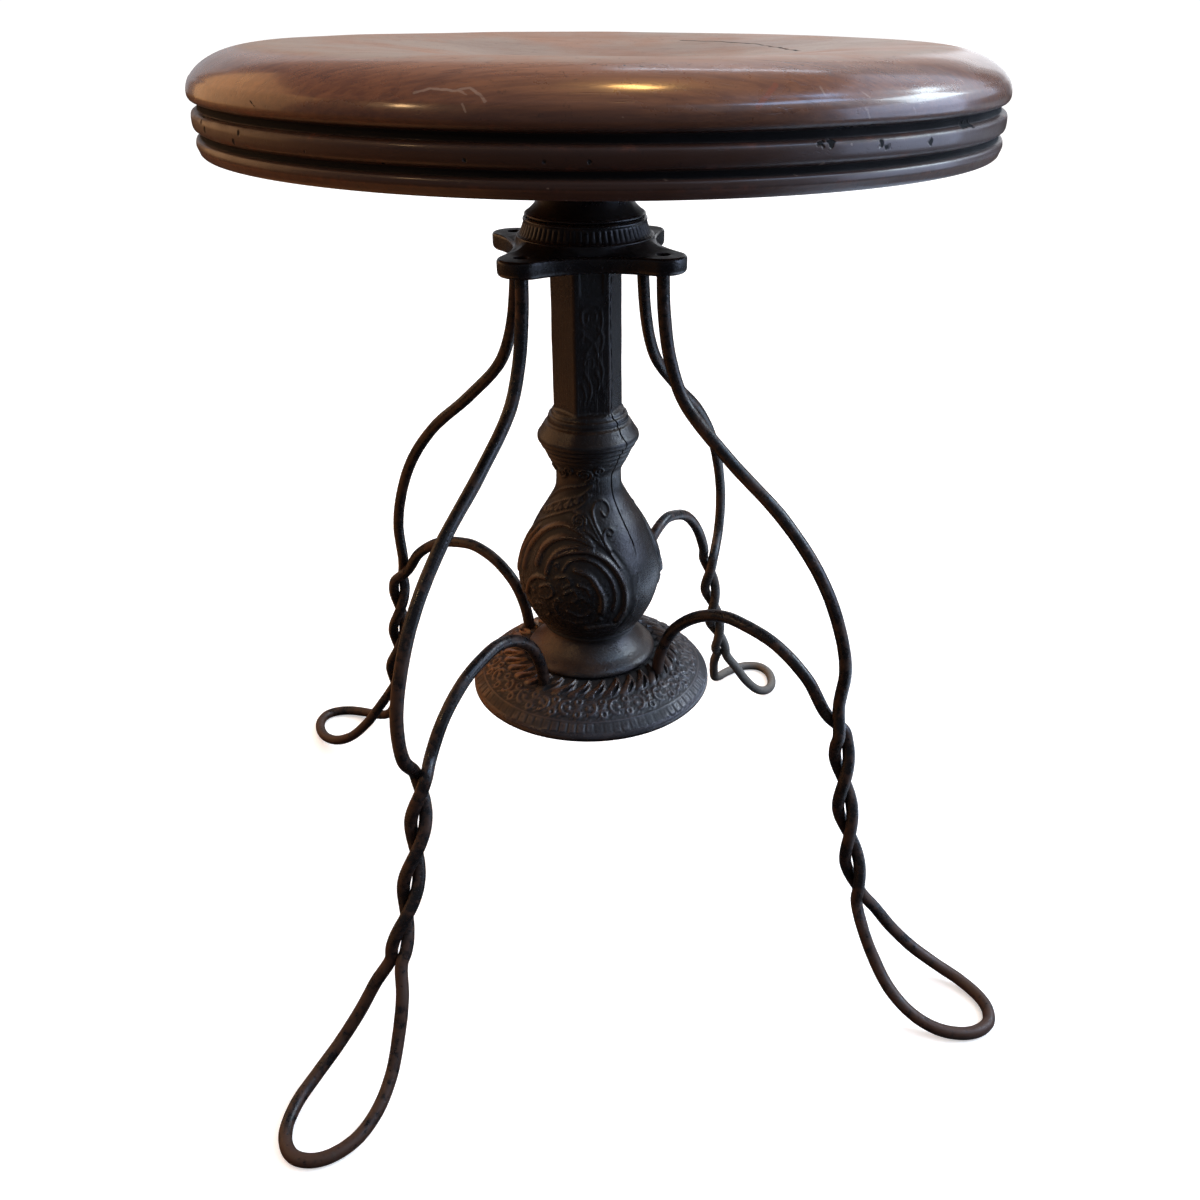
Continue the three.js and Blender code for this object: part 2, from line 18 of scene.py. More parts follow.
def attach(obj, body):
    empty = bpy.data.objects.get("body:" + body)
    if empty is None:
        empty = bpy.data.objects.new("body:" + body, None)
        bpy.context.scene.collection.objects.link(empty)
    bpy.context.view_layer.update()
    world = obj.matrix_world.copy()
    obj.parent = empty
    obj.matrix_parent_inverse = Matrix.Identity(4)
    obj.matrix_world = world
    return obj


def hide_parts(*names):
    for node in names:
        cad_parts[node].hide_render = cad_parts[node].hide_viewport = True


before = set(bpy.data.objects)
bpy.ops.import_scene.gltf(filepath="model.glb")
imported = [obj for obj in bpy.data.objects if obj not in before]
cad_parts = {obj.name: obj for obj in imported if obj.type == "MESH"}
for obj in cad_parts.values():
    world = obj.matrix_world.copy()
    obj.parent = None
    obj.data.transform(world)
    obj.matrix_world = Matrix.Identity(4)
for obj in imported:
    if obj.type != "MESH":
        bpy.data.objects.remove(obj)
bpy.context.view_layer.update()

MM = 0.001
TAU = 2 * math.pi
SPAN_STEPS = 24
log = logging.getLogger("piano_stool")

Table = tuple[tuple[float, ...], ...]
Colour = Place = tuple[float, float, float]
Grid, Socket, Material, Thing = np.ndarray, bpy.types.NodeSocket, bpy.types.Material, bpy.types.Object


class Body(Enum):
    """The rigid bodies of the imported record."""

    FRAME = "base"
    WASHER = "washer"
    SEAT = "seat"


class Slot(Enum):
    """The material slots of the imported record."""

    SEAT_WOOD = "seat_wood"
    COLUMN_WOOD = "column_wood"
    CASTING = "casting"
    ROD = "rod"
    BRIGHT_STEEL = "bright_steel"


class Side(Enum):
    """The four legs, by the turn of each from the leg along +X."""

    FRONT = -90.0
    RIGHT = 0.0
    BACK = 90.0
    LEFT = 180.0

    @property
    def word(self) -> str:
        """The side's name as the CAD nodes give it."""
        return self.name.lower()


@dataclass(frozen=True)
class Bend:
    """How one leg was bent by hand: shares of the leg's sizes, and its sway in degrees."""

    belly: float
    top: float
    top_height: float
    foot: float
    foot_height: float
    tip: float
    arch: float
    sway: float


BENDS = {
    Side.FRONT: Bend(1.024, 0.972, 0.997, 0.994, 1.0, 0.9995, 0.915, 0.4),
    Side.RIGHT: Bend(1.01, 1.047, 0.983, 1.0, 0.9, 1.004, 1.02, 0.8),
    Side.BACK: Bend(1.053, 0.97, 0.971, 1.0, 1.03, 1.031, 1.106, 2.3),
    Side.LEFT: Bend(0.993, 1.049, 0.981, 1.0, 0.99, 1.029, 0.924, -2.3),
}


@dataclass(frozen=True)
class Fault:
    """A small fault of a surface: a dot, or a line between two places, in the row's millimetres."""

    start: Place
    end: Place
    width: float

    @classmethod
    def dots(cls, width: float, *places: Place) -> "tuple[Fault, ...]":
        """Dots of one width."""
        return tuple(cls(place, place, width) for place in places)

    @classmethod
    def line(cls, width: float, *places: Place) -> "tuple[Fault, ...]":
        """A line through places, as one fault for each stretch."""
        return tuple(cls(start, end, width) for start, end in zip(places[:-1], places[1:]))


def smooth(low: float, high: float, value: Grid) -> Grid:
    """Share that rises from 0 at low to 1 at high, which may be the lesser, as 3t^2 - 2t^3."""
    t = np.clip((value - low) / (high - low), 0.0, 1.0)
    return t * t * (3.0 - 2.0 * t)


def between(low: float, high: float, share: Grid) -> Grid:
    """The value that lies at a share of the way from low to high."""
    return low + (high - low) * share


def window(foot: float, low: float, high: float, top: float, value: Grid) -> Grid:
    """Share that rises from 0 at foot to 1 at low, and falls from 1 at high to 0 at top."""
    return smooth(foot, low, value) * smooth(top, high, value)


def peak(value: Grid, at: float, width: float) -> Grid:
    """Bell curve that is 1 at a place: exp(-((value - at) / width)^2)."""
    return np.exp(-(((value - at) / width) ** 2))


def mound(distance: Grid, half: float, power: float) -> Grid:
    """Rounded ridge of a half width: (1 - (distance / half)^2) to a power, and 0 outside."""
    return np.clip(1 - (distance / half) ** 2, 0, None) ** power


def astray(degrees: Grid, centre: float, period: float = 360.0) -> Grid:
    """Turn from the nearest of the centres, which come once a period, to each direction."""
    return (degrees - centre + period / 2) % period - period / 2


def quarters(reach: float, turn: float = 0.0) -> list[tuple[float, float]]:
    """Four places round the axis, a quarter turn apart, the first at a turn in degrees."""
    turns = [math.radians(turn) + k * TAU / 4 for k in range(4)]
    return [(reach * math.cos(angle), reach * math.sin(angle)) for angle in turns]


def hexagonal(azimuth: Grid, radius: float) -> Grid:
    """Radius of a six-sided bar: half its width over the cosine of the turn from a flat's middle."""
    return radius * math.cos(math.pi / 6) / np.cos(saw(azimuth / (TAU / 6) - 0.5) * (TAU / 6))


def dust_and_warm_light_side(degrees: Grid) -> Grid:
    """How ochre a direction is, as dust and as painted warm light from that side: all at 208 degrees, none
    from 88 to either side.
    """
    return smooth(88.0, 34.0, np.abs(astray(degrees, 208.0)))


def circle(columns: int) -> Grid:
    """Azimuths in radians, evenly round the axis, as one row."""
    return (np.arange(columns) * TAU / columns)[None, :]


def wide_grid(values: Grid, columns: int) -> Grid:
    """One value for each row, repeated over the columns."""
    return np.repeat(values[:, None], columns, axis=1)


def saw(turns: Grid) -> Grid:
    """Distance of a count of turns from its nearest whole number, with its sign, -0.5 to 0.5."""
    return turns - np.round(turns)


def catmull_rom(points: Grid, steps: int) -> Grid:
    """Smooth curve through points, as the CAD draws it.

    The knots stand apart by the square root of the chord between their points, each inner
    tangent is the slope of the parabola through three points, and a cubic joins two points.

    Args:
        points: Rows of coordinates.
        steps: Samples in each span.

    Returns:
        Rows of coordinates along the curve, both ends included.
    """
    first, last = 2 * points[0] - points[1], 2 * points[-1] - points[-2]
    p = np.vstack([first, points, last])
    gap = np.maximum(np.linalg.norm(np.diff(p, axis=0), axis=1), 1e-9) ** 0.5
    p0, p1, p2, p3 = p[:-3], p[1:-2], p[2:-1], p[3:]
    g0, g1, g2 = (g[:, None] for g in (gap[:-2], gap[1:-1], gap[2:]))
    m1 = ((p1 - p0) / g0 - (p2 - p0) / (g0 + g1) + (p2 - p1) / g1) * g1
    m2 = ((p2 - p1) / g1 - (p3 - p1) / (g1 + g2) + (p3 - p2) / g2) * g1
    t = (np.arange(steps) / steps)[None, :, None]
    a, b, m, n = p1[:, None], p2[:, None], m1[:, None], m2[:, None]
    curve = (
        (2 * t**3 - 3 * t**2 + 1) * a
        + (t**3 - 2 * t**2 + t) * m
        + (3 * t**2 - 2 * t**3) * b
        + (t**3 - t**2) * n
    )
    return np.vstack([curve.reshape(-1, points.shape[1]), points[-1:]])


def evenly(curve: Grid, step: float) -> Grid:
    """The same curve with its samples about a step apart along it.

    Args:
        curve: Rows of coordinates.
        step: Distance between samples.

    Returns:
        Rows of coordinates, both ends included.
    """
    along = np.concatenate([[0.0], np.cumsum(np.linalg.norm(np.diff(curve, axis=0), axis=1))])
    count = max(2, int(round(along[-1] / step)) + 1)
    at = np.linspace(0.0, along[-1], count)
    return np.stack([np.interp(at, along, column) for column in curve.T], axis=1)


def profile(*sections: tuple[Table, float]) -> Grid:
    """Profile of (radius, height) rows joined from smooth sections that meet in sharp corners.

    Args:
        sections: Pairs of corner points and the distance between samples along them.

    Returns:
        Rows of radius and height.
    """
    rows = []
    for table, step in sections:
        points = np.array(table, float)
        rows.append(evenly(catmull_rom(points, SPAN_STEPS) if len(points) > 2 else points, step))
    return np.vstack([rows[0]] + [section[1:] for section in rows[1:]])


def cornered(*corners: tuple[float, float, float]) -> list[tuple[Table, float]]:
    """Straight sections of a profile from (radius, height, step on to the next corner) rows."""
    return [((start[:2], end[:2]), start[2]) for start, end in zip(corners, corners[1:])]


def ripple(points: Grid, size: float, seed: int) -> Grid:
    """Soft unevenness of a hand-worked surface: a sum of eight sine waves in space.

    Args:
        points: Rows of places in millimetres.
        size: Shortest wavelength.
        seed: Starts the draw of directions and phases.

    Returns:
        Values between about -1 and 1.
    """
    draw = np.random.default_rng(seed)
    total = np.zeros(points.shape[:-1])
    for octave in range(8):
        heading = draw.normal(size=3)
        heading /= np.linalg.norm(heading)
        wave = size * (1.0 + octave * 0.45)
        total += np.sin(points @ heading * (TAU / wave) + draw.uniform(0, TAU))
    return total / 4.0


@dataclass
class Shell:
    """A mesh in the making: places, faces and one value of each kind for every point."""

    points: Grid
    quads: Grid
    triangles: Grid
    values: dict[str, Grid] = field(default_factory=dict)

    @classmethod
    def woven(cls, points: Grid, ring: bool = False, values: dict[str, Grid] | None = None) -> "Shell":
        """Closed shell from a grid of rows that each run once round the axis.

        Rows go out along the foot, up, and back in over the top, so that faces point out. Two
        fans close the first and the last row, unless the rows make a ring.

        Args:
            points: Grid of places, rows by columns by three.
            ring: Whether the last row joins the first.
            values: Values of each kind, which are stretched to the grid.

        Returns:
            The shell.
        """
        rows, columns = points.shape[:2]
        values = {name: np.broadcast_to(grid, (rows, columns)) for name, grid in (values or {}).items()}
        index = np.arange(rows * columns).reshape(rows, columns)
        after = np.roll(index, -1, axis=1)
        lower, upper = (index, np.roll(index, -1, axis=0)) if ring else (index[:-1], index[1:])
        lower_after, upper_after = np.roll(lower, -1, axis=1), np.roll(upper, -1, axis=1)
        quads = np.stack([lower, lower_after, upper_after, upper], axis=-1).reshape(-1, 4)
        flat = points.reshape(-1, 3)
        grids = {name: grid.reshape(-1) for name, grid in values.items()}
        triangles = np.zeros((0, 3), int)
        if not ring:
            foot, top = rows * columns, rows * columns + 1
            fan_foot = np.stack([np.full(columns, foot), after[0], index[0]], axis=-1)
            fan_top = np.stack([np.full(columns, top), index[-1], after[-1]], axis=-1)
            triangles = np.vstack([fan_foot, fan_top])
            flat = np.vstack([flat, points[0].mean(axis=0), points[-1].mean(axis=0)])
            ends = {name: [grid[0].mean(), grid[-1].mean()] for name, grid in values.items()}
            grids = {name: np.concatenate([grid, ends[name]]) for name, grid in grids.items()}
        return cls(flat, quads, triangles, grids)

    def turned_by(self, degrees: float) -> "Shell":
        """The same shell turned about the stool's axis."""
        cos, sin = math.cos(math.radians(degrees)), math.sin(math.radians(degrees))
        turn = np.array([[cos, sin, 0], [-sin, cos, 0], [0, 0, 1]])
        return Shell(self.points @ turn, self.quads, self.triangles, self.values)

    def moved_by(self, offset: Place) -> "Shell":
        """The same shell moved by an offset in millimetres."""
        return Shell(self.points + np.array(offset), self.quads, self.triangles, self.values)

    def object(self, name: str, creases: float = 40.0) -> Thing:
        """Puts the shell into Blender.

        Args:
            name: Name of the object and its mesh.
            creases: Angle between faces past which an edge shades sharp.

        Returns:
            The object, at the origin.
        """
        mesh = bpy.data.meshes.new(name)
        corners = np.concatenate([self.quads.reshape(-1), self.triangles.reshape(-1)])
        counts = np.concatenate([np.full(len(self.quads), 4), np.full(len(self.triangles), 3)])
        mesh.vertices.add(len(self.points))
        mesh.vertices.foreach_set("co", (self.points * MM).astype(np.float32).ravel())
        mesh.loops.add(len(corners))
        mesh.loops.foreach_set("vertex_index", corners.astype(np.int32))
        mesh.polygons.add(len(counts))
        starts = np.concatenate([[0], np.cumsum(counts)[:-1]])
        mesh.polygons.foreach_set("loop_start", starts.astype(np.int32))
        mesh.update(calc_edges=True)
        for kind, values in self.values.items():
            layer = mesh.attributes.new(kind, "FLOAT", "POINT")
            layer.data.foreach_set("value", np.clip(values, 0.0, 1.0).astype(np.float32))
        mesh.validate()
        mesh.set_sharp_from_angle(angle=math.radians(creases))
        made = bpy.data.objects.new(name, mesh)
        bpy.context.scene.collection.objects.link(made)
        return made


def lathe(rows: Grid, columns: int, ring: bool = False) -> Shell:
    """Surface of revolution of a profile of radius and height, which may close on itself as a ring."""
    return Shell.woven(around(rows[:, :1], circle(columns), rows[:, 1:]), ring=ring)


def around(radius: Grid, azimuth: Grid, height: Grid) -> Grid:
    """Places from a radius, an azimuth in radians and a height, stretched to one grid."""
    x, y, z = np.broadcast_arrays(radius * np.cos(azimuth), radius * np.sin(azimuth), height)
    return np.stack([x, y, z], axis=-1)


def lobed(azimuth: Grid, reach: float, lobe: float, waist: float, turn: float) -> Grid:
    """Radius of a plate with a round lobe for each leg, joined by hollow arcs.

    A ray from the axis meets the lobe's circle where it is within the tangent point, and
    otherwise the hollow circle that touches both lobes and comes in to the waist.

    Args:
        azimuth: Directions in radians.
        reach: Distance of a lobe's middle from the axis.
        lobe: Radius of a lobe.
        waist: Least radius, between two lobes.
        turn: Degrees from +X to the first lobe.

    Returns:
        Radii.
    """
    half = TAU / 8
    side = lobe - waist
    centre = (reach * reach - side * side) / (2 * (side + reach * math.cos(half)))
    hollow = centre - waist
    offset = np.abs(saw((azimuth - math.radians(turn)) / (TAU / 4))) * (TAU / 4)
    cross = np.clip(lobe**2 - (reach * np.sin(offset)) ** 2, 0.0, None)
    outer = reach * np.cos(offset) + np.sqrt(cross)
    across = np.clip(hollow**2 - (centre * np.sin(half - offset)) ** 2, 0.0, None)
    inner = centre * np.cos(half - offset) - np.sqrt(across)
    tangent = math.atan2(centre * math.sin(half), centre * math.cos(half) - reach)
    touch = math.atan2(lobe * math.sin(tangent), reach + lobe * math.cos(tangent))
    return np.where(offset < touch, outer, inner)


def tube(path: Grid, radius: Grid, sides: int, reference: Grid) -> Shell:
    """Round bar carried along a path.

    The section's first axis is the reference direction with its part along the path taken
    out, and its second axis is square to both.

    Args:
        path: Places along the middle line.
        radius: Radius at each place, or at each place and side.
        sides: Points round the bar.
        reference: A direction for each place, never along the path.

    Returns:
        The closed shell, its ends included.
    """
    along = np.gradient(path, axis=0)
    along /= np.linalg.norm(along, axis=1, keepdims=True)
    first = reference - (reference * along).sum(axis=1, keepdims=True) * along
    first /= np.linalg.norm(first, axis=1, keepdims=True)
    second = np.cross(along, first)
    angle = np.arange(sides) * TAU / sides
    wide = radius if radius.ndim == 2 else radius[:, None]
    grid = (
        path[:, None, :]
        + (wide * np.cos(angle))[..., None] * first[:, None, :]
        + (wide * np.sin(angle))[..., None] * second[:, None, :]
    )
    return Shell.woven(grid)


class Wiring:
    """Short hand for putting nodes into one node tree."""

    def __init__(self, tree: bpy.types.NodeTree) -> None:
        """Starts on an empty tree."""
        self.tree = tree

    def put(self, kind: str, inputs: dict | None = None, **settings: object) -> bpy.types.Node:
        """Adds a node, sets it and joins its inputs.

        Args:
            kind: Node type, without its leading ShaderNode.
            inputs: Socket name or number to a value or to another node's output socket.
            settings: Properties of the node.

        Returns:
            The node.
        """
        node = self.tree.nodes.new(kind if kind.startswith("Node") else "ShaderNode" + kind)
        for name, value in settings.items():
            setattr(node, name, value)
        for name, value in (inputs or {}).items():
            self.feed(value, node.inputs[name])
        return node

    def feed(self, value: object, socket: Socket) -> None:
        """Links a socket to an input, or sets the input's own value."""
        if isinstance(value, Socket):
            self.tree.links.new(value, socket)
        else:
            socket.default_value = value

    def vector(self, operation: str, inputs: dict, output: int | str = 0) -> Socket:
        """One step of vector arithmetic, by Blender's name for it."""
        return self.put("VectorMath", inputs, operation=operation).outputs[output]

    def axes(self, where: Socket) -> bpy.types.NodeOutputs:
        """The X, Y and Z of a vector."""
        return self.put("SeparateXYZ", {0: where}).outputs

    def turned(self, where: Socket, **settings: Place) -> Socket:
        """Places turned and stretched, by Rotation in radians and Scale."""
        return self.put("Mapping", {"Vector": where, **settings}).outputs[0]

    def maths(self, operation: str, *values: object) -> Socket:
        """One step of arithmetic on numbers or sockets, by Blender's name for it."""
        return self.put("Math", dict(enumerate(values)), operation=operation).outputs[0]

    def times(self, first: object, second: object) -> Socket:
        """The product of two values."""
        return self.maths("MULTIPLY", first, second)

    def plus(self, first: object, second: object) -> Socket:
        """The sum of two values."""
        return self.maths("ADD", first, second)

    def less(self, first: object, second: object) -> Socket:
        """The first value less the second."""
        return self.maths("SUBTRACT", first, second)

    def most(self, first: object, second: object) -> Socket:
        """The greater of two values."""
        return self.maths("MAXIMUM", first, second)

    def least(self, first: object, second: object) -> Socket:
        """The lesser of two values."""
        return self.maths("MINIMUM", first, second)

    def ramp(self, value: object, low: float, high: float, foot: float = 0.0, top: float = 1.0) -> Socket:
        """Smooth step of a value from low to high, put out as foot to top."""
        spans = {"Value": value, "From Min": low, "From Max": high, "To Min": foot, "To Max": top}
        return self.put("MapRange", spans, interpolation_type="SMOOTHSTEP").outputs["Result"]

    def blend(self, share: object, first: object, second: object) -> Socket:
        """Mixes two colours.

        Args:
            share: Share of the second.
            first: Colour or socket.
            second: Colour or socket.

        Returns:
            The result's socket.
        """
        node = self.put("Mix", {0: share}, data_type="RGBA")
        for number, colour in ((6, first), (7, second)):
            self.feed(colour if isinstance(colour, Socket) else (*colour, 1.0), node.inputs[number])
        return node.outputs[2]

    def noise(self, where: object, scale: float, detail: float = 4.0, rough: float = 0.55) -> Socket:
        """Noise about 0.5: waves a metre, octaves, and each octave's strength against the last."""
        sockets = {"Vector": where, "Scale": scale, "Detail": detail, "Roughness": rough}
        return self.put("TexNoise", sockets).outputs["Fac"]


class Effect:
    """A node group that several finishes share."""

    VECTORS: tuple[str, ...] = ("Vector", "Normal", "Start", "Way")

    def __init__(self, name: str, inputs: str, outputs: str) -> None:
        """Makes the group with its named sockets, some vectors and the rest numbers.

        Args:
            name: The group's name.
            inputs: Names of its inputs.
            outputs: Names of its outputs.
        """
        self.tree = bpy.data.node_groups.new(name, "ShaderNodeTree")
        for way, sockets in (("INPUT", inputs), ("OUTPUT", outputs)):
            for socket in sockets.split():
                kind = "NodeSocketVector" if socket in self.VECTORS else "NodeSocketFloat"
                self.tree.interface.new_socket(socket, in_out=way, socket_type=kind)
        self.wiring = Wiring(self.tree)
        self.source = self.wiring.put("NodeGroupInput").outputs
        self.sink = self.wiring.put("NodeGroupOutput")

    def give(self, **results: Socket) -> None:
        """Joins results to the group's outputs by name."""
        for name, socket in results.items():
            self.tree.links.new(socket, self.sink.inputs[name])

    def place(self, wiring: Wiring, **values: object) -> bpy.types.NodeOutputs:
        """Puts the group into a material's wiring, with its inputs by name."""
        return wiring.put("Group", values, node_tree=self.tree).outputs


def grain_effect() -> Effect:
    """Wood grain along the vector's X: growth rings, short dark pores and broad mottling.

    Returns:
        The effect.
    """
    effect = Effect("wood_grain", "Vector Rings Pores", "Ring Pore Mottle Fibre")
    w, source = effect.wiring, effect.source
    drawn = w.vector("MULTIPLY", {0: source["Vector"], 1: (0.09, 1.0, 1.0)})
    sway = w.noise(drawn, 9.0, 3.0)
    axes = w.axes(drawn)
    slanted = w.plus(axes["Y"], w.times(axes["Z"], 0.55))
    swayed = w.plus(slanted, w.times(sway, 0.05))
    wave = w.maths("SINE", w.times(swayed, source["Rings"]))
    ring = w.ramp(wave, -0.9, 1.0)
    long = w.vector("MULTIPLY", {0: source["Vector"], 1: (0.035, 1.0, 1.0)})
    streak = w.noise(long, source["Pores"], 3.0, 0.7)
    pore = w.ramp(streak, 0.58, 0.72)
    fibre = w.noise(long, 260.0, 5.0, 0.65)
    mottle = w.noise(source["Vector"], 11.0, 4.0)
    effect.give(Ring=ring, Pore=pore, Mottle=mottle, Fibre=fibre)
    return effect


def dust_effect() -> Effect:
    """Dust that lies in hollows and on faces that look up.

    The mask grows with its Hollow input, and with the height of the normal above level. The finishes feed
    that input with the side value, so that on the side that faces 208 degrees the dust also stands for
    painted warm light.

    Returns:
        The effect.
    """
    effect = Effect("settled_dust", "Vector Normal Hollow Amount", "Mask")
    w, source = effect.wiring, effect.source
    patch = w.noise(source["Vector"], 45.0, 5.0, 0.65)
    speck = w.noise(source["Vector"], 700.0, 3.0, 0.7)
    up = w.ramp(w.axes(source["Normal"])["Z"], 0.15, 0.95, 0.0, 0.55)
    lying = w.plus(w.times(source["Hollow"], 0.75), up)
    broken = w.times(lying, w.ramp(patch, 0.3, 0.68, 0.25, 1.15))
    dotted = w.times(broken, w.ramp(speck, 0.25, 0.75, 0.55, 1.2))
    mask = w.times(dotted, source["Amount"])
    effect.give(Mask=w.least(mask, 1.0))
    return effect


def wear_effect() -> Effect:
    """Rubbed edges: the edge attribute broken up by noise.

    Returns:
        The effect.
    """
    effect = Effect("rubbed_edges", "Vector Edge", "Mask")
    w, source = effect.wiring, effect.source
    broad = w.noise(source["Vector"], 60.0, 4.0, 0.6)
    fine = w.noise(source["Vector"], 420.0, 3.0, 0.7)
    worn = w.times(source["Edge"], w.ramp(broad, 0.32, 0.66, 0.15, 1.25))
    worn = w.times(worn, w.ramp(fine, 0.3, 0.65, 0.5, 1.15))
    effect.give(Mask=w.least(worn, 1.0))
    return effect


def pit_effect() -> Effect:
    """Small pits at random places: the distance to the nearest of scattered points.

    Returns:
        The effect.
    """
    effect = Effect("pitting", "Vector Scale Share", "Mask")
    w, source = effect.wiring, effect.source
    cells = w.put("TexVoronoi", {"Vector": source["Vector"], "Scale": source["Scale"]})
    dot = w.ramp(cells.outputs["Distance"], 0.34, 0.12)
    lot = w.put("SeparateColor", {0: cells.outputs["Color"]}).outputs[0]
    picked = w.maths("LESS_THAN", lot, source["Share"])
    effect.give(Mask=w.times(dot, picked))
    return effect


def fault_effect() -> Effect:
    """A dot or a line with a soft, ragged edge.

    The distance to the line is that to the nearest place on it: the share of the way along
    is the dot product with the line over its length squared, kept between 0 and 1.

    Returns:
        The effect.
    """
    effect = Effect("fault", "Vector Start Way Inverse Width", "Mask")
    w, source = effect.wiring, effect.source
    away = w.vector("SUBTRACT", {0: source["Vector"], 1: source["Start"]})
    dot = w.vector("DOT_PRODUCT", {0: away, 1: source["Way"]}, "Value")
    share = w.put("Math", {0: dot, 1: source["Inverse"]}, operation="MULTIPLY", use_clamp=True).outputs[0]
    along = w.vector("SCALE", {0: source["Way"], "Scale": share})
    gap = w.vector("DISTANCE", {0: away, 1: along}, "Value")
    near = w.maths("DIVIDE", gap, source["Width"])
    effect.give(Mask=w.ramp(near, 1.0, 0.55))
    return effect


@dataclass
class Effects:
    """The shared effects, each built once."""

    grain: Effect = field(default_factory=grain_effect)
    dust: Effect = field(default_factory=dust_effect)
    wear: Effect = field(default_factory=wear_effect)
    pits: Effect = field(default_factory=pit_effect)
    fault: Effect = field(default_factory=fault_effect)


class Surface:
    """A material with its places, normal and the points' own values at hand."""

    def __init__(self, name: str) -> None:
        """Makes the material with an empty tree.

        Args:
            name: The material's name.
        """
        self.material = bpy.data.materials.new(name)
        self.material.use_nodes = True
        self.material.node_tree.nodes.clear()
        self.w = Wiring(self.material.node_tree)
        self.place = self.w.put("TexCoord").outputs["Object"]
        self.normal = self.w.put("NewGeometry").outputs["Normal"]
        self.hollow = self.value("hollow")
        self.edge = self.value("edge")

    def value(self, name: str) -> Socket:
        """The points' own value of a kind, as the shell's values name it."""
        return self.w.put("Attribute", attribute_name=name).outputs["Fac"]

    def faults(self, effects: Effects, faults: tuple[Fault, ...], where: Socket) -> Socket:
        """Mask of all the faults of one kind.

        Args:
            effects: The shared effects.
            faults: Where they are.
            where: Socket of places, which may be shaken to make the faults ragged.

        Returns:
            The mask's socket, 1 on a fault.
        """
        mask = None
        for fault in faults:
            start, way = Vector(fault.start) * MM, (Vector(fault.end) - Vector(fault.start)) * MM
            inverse = 1.0 / way.length_squared if way.length_squared else 0.0
            line = {"Start": start, "Way": way, "Inverse": inverse, "Width": fault.width * MM}
            one = effects.fault.place(self.w, Vector=where, **line)["Mask"]
            mask = one if mask is None else self.w.most(mask, one)
        return mask

    def shaken(self, size: float, amount: float) -> Socket:
        """Places moved a little at random.

        Args:
            size: Millimetres between one shake and the next.
            amount: Millimetres of the shake.

        Returns:
            Socket of places.
        """
        sockets = {"Vector": self.place, "Scale": 1.0 / (size * MM), "Detail": 2.0}
        drawn = self.w.put("TexNoise", sockets).outputs["Color"]
        offset = self.w.vector("SUBTRACT", {0: drawn, 1: (0.5, 0.5, 0.5)})
        scaled = self.w.vector("SCALE", {0: offset, "Scale": 2.0 * amount * MM})
        return self.w.vector("ADD", {0: self.place, 1: scaled})

    def finish(self, fixed: dict[str, object], varied: dict[str, Socket]) -> Material:
        """Adds the shader and the output.

        Args:
            fixed: Shader sockets that are the same all over.
            varied: Shader sockets that a pattern feeds.

        Returns:
            The finished material.
        """
        shader = self.w.put("BsdfPrincipled", {**fixed, **varied})
        self.w.put("OutputMaterial", {"Surface": shader.outputs[0]})
        return self.material

    def bump(self, height: Socket, depth: float) -> Socket:
        """Normal that heights from 0 to 1 give, with the millimetres that 1 stands for."""
        sockets = {"Height": height, "Distance": depth * MM, "Strength": 1.0}
        return self.w.put("Bump", sockets).outputs["Normal"]


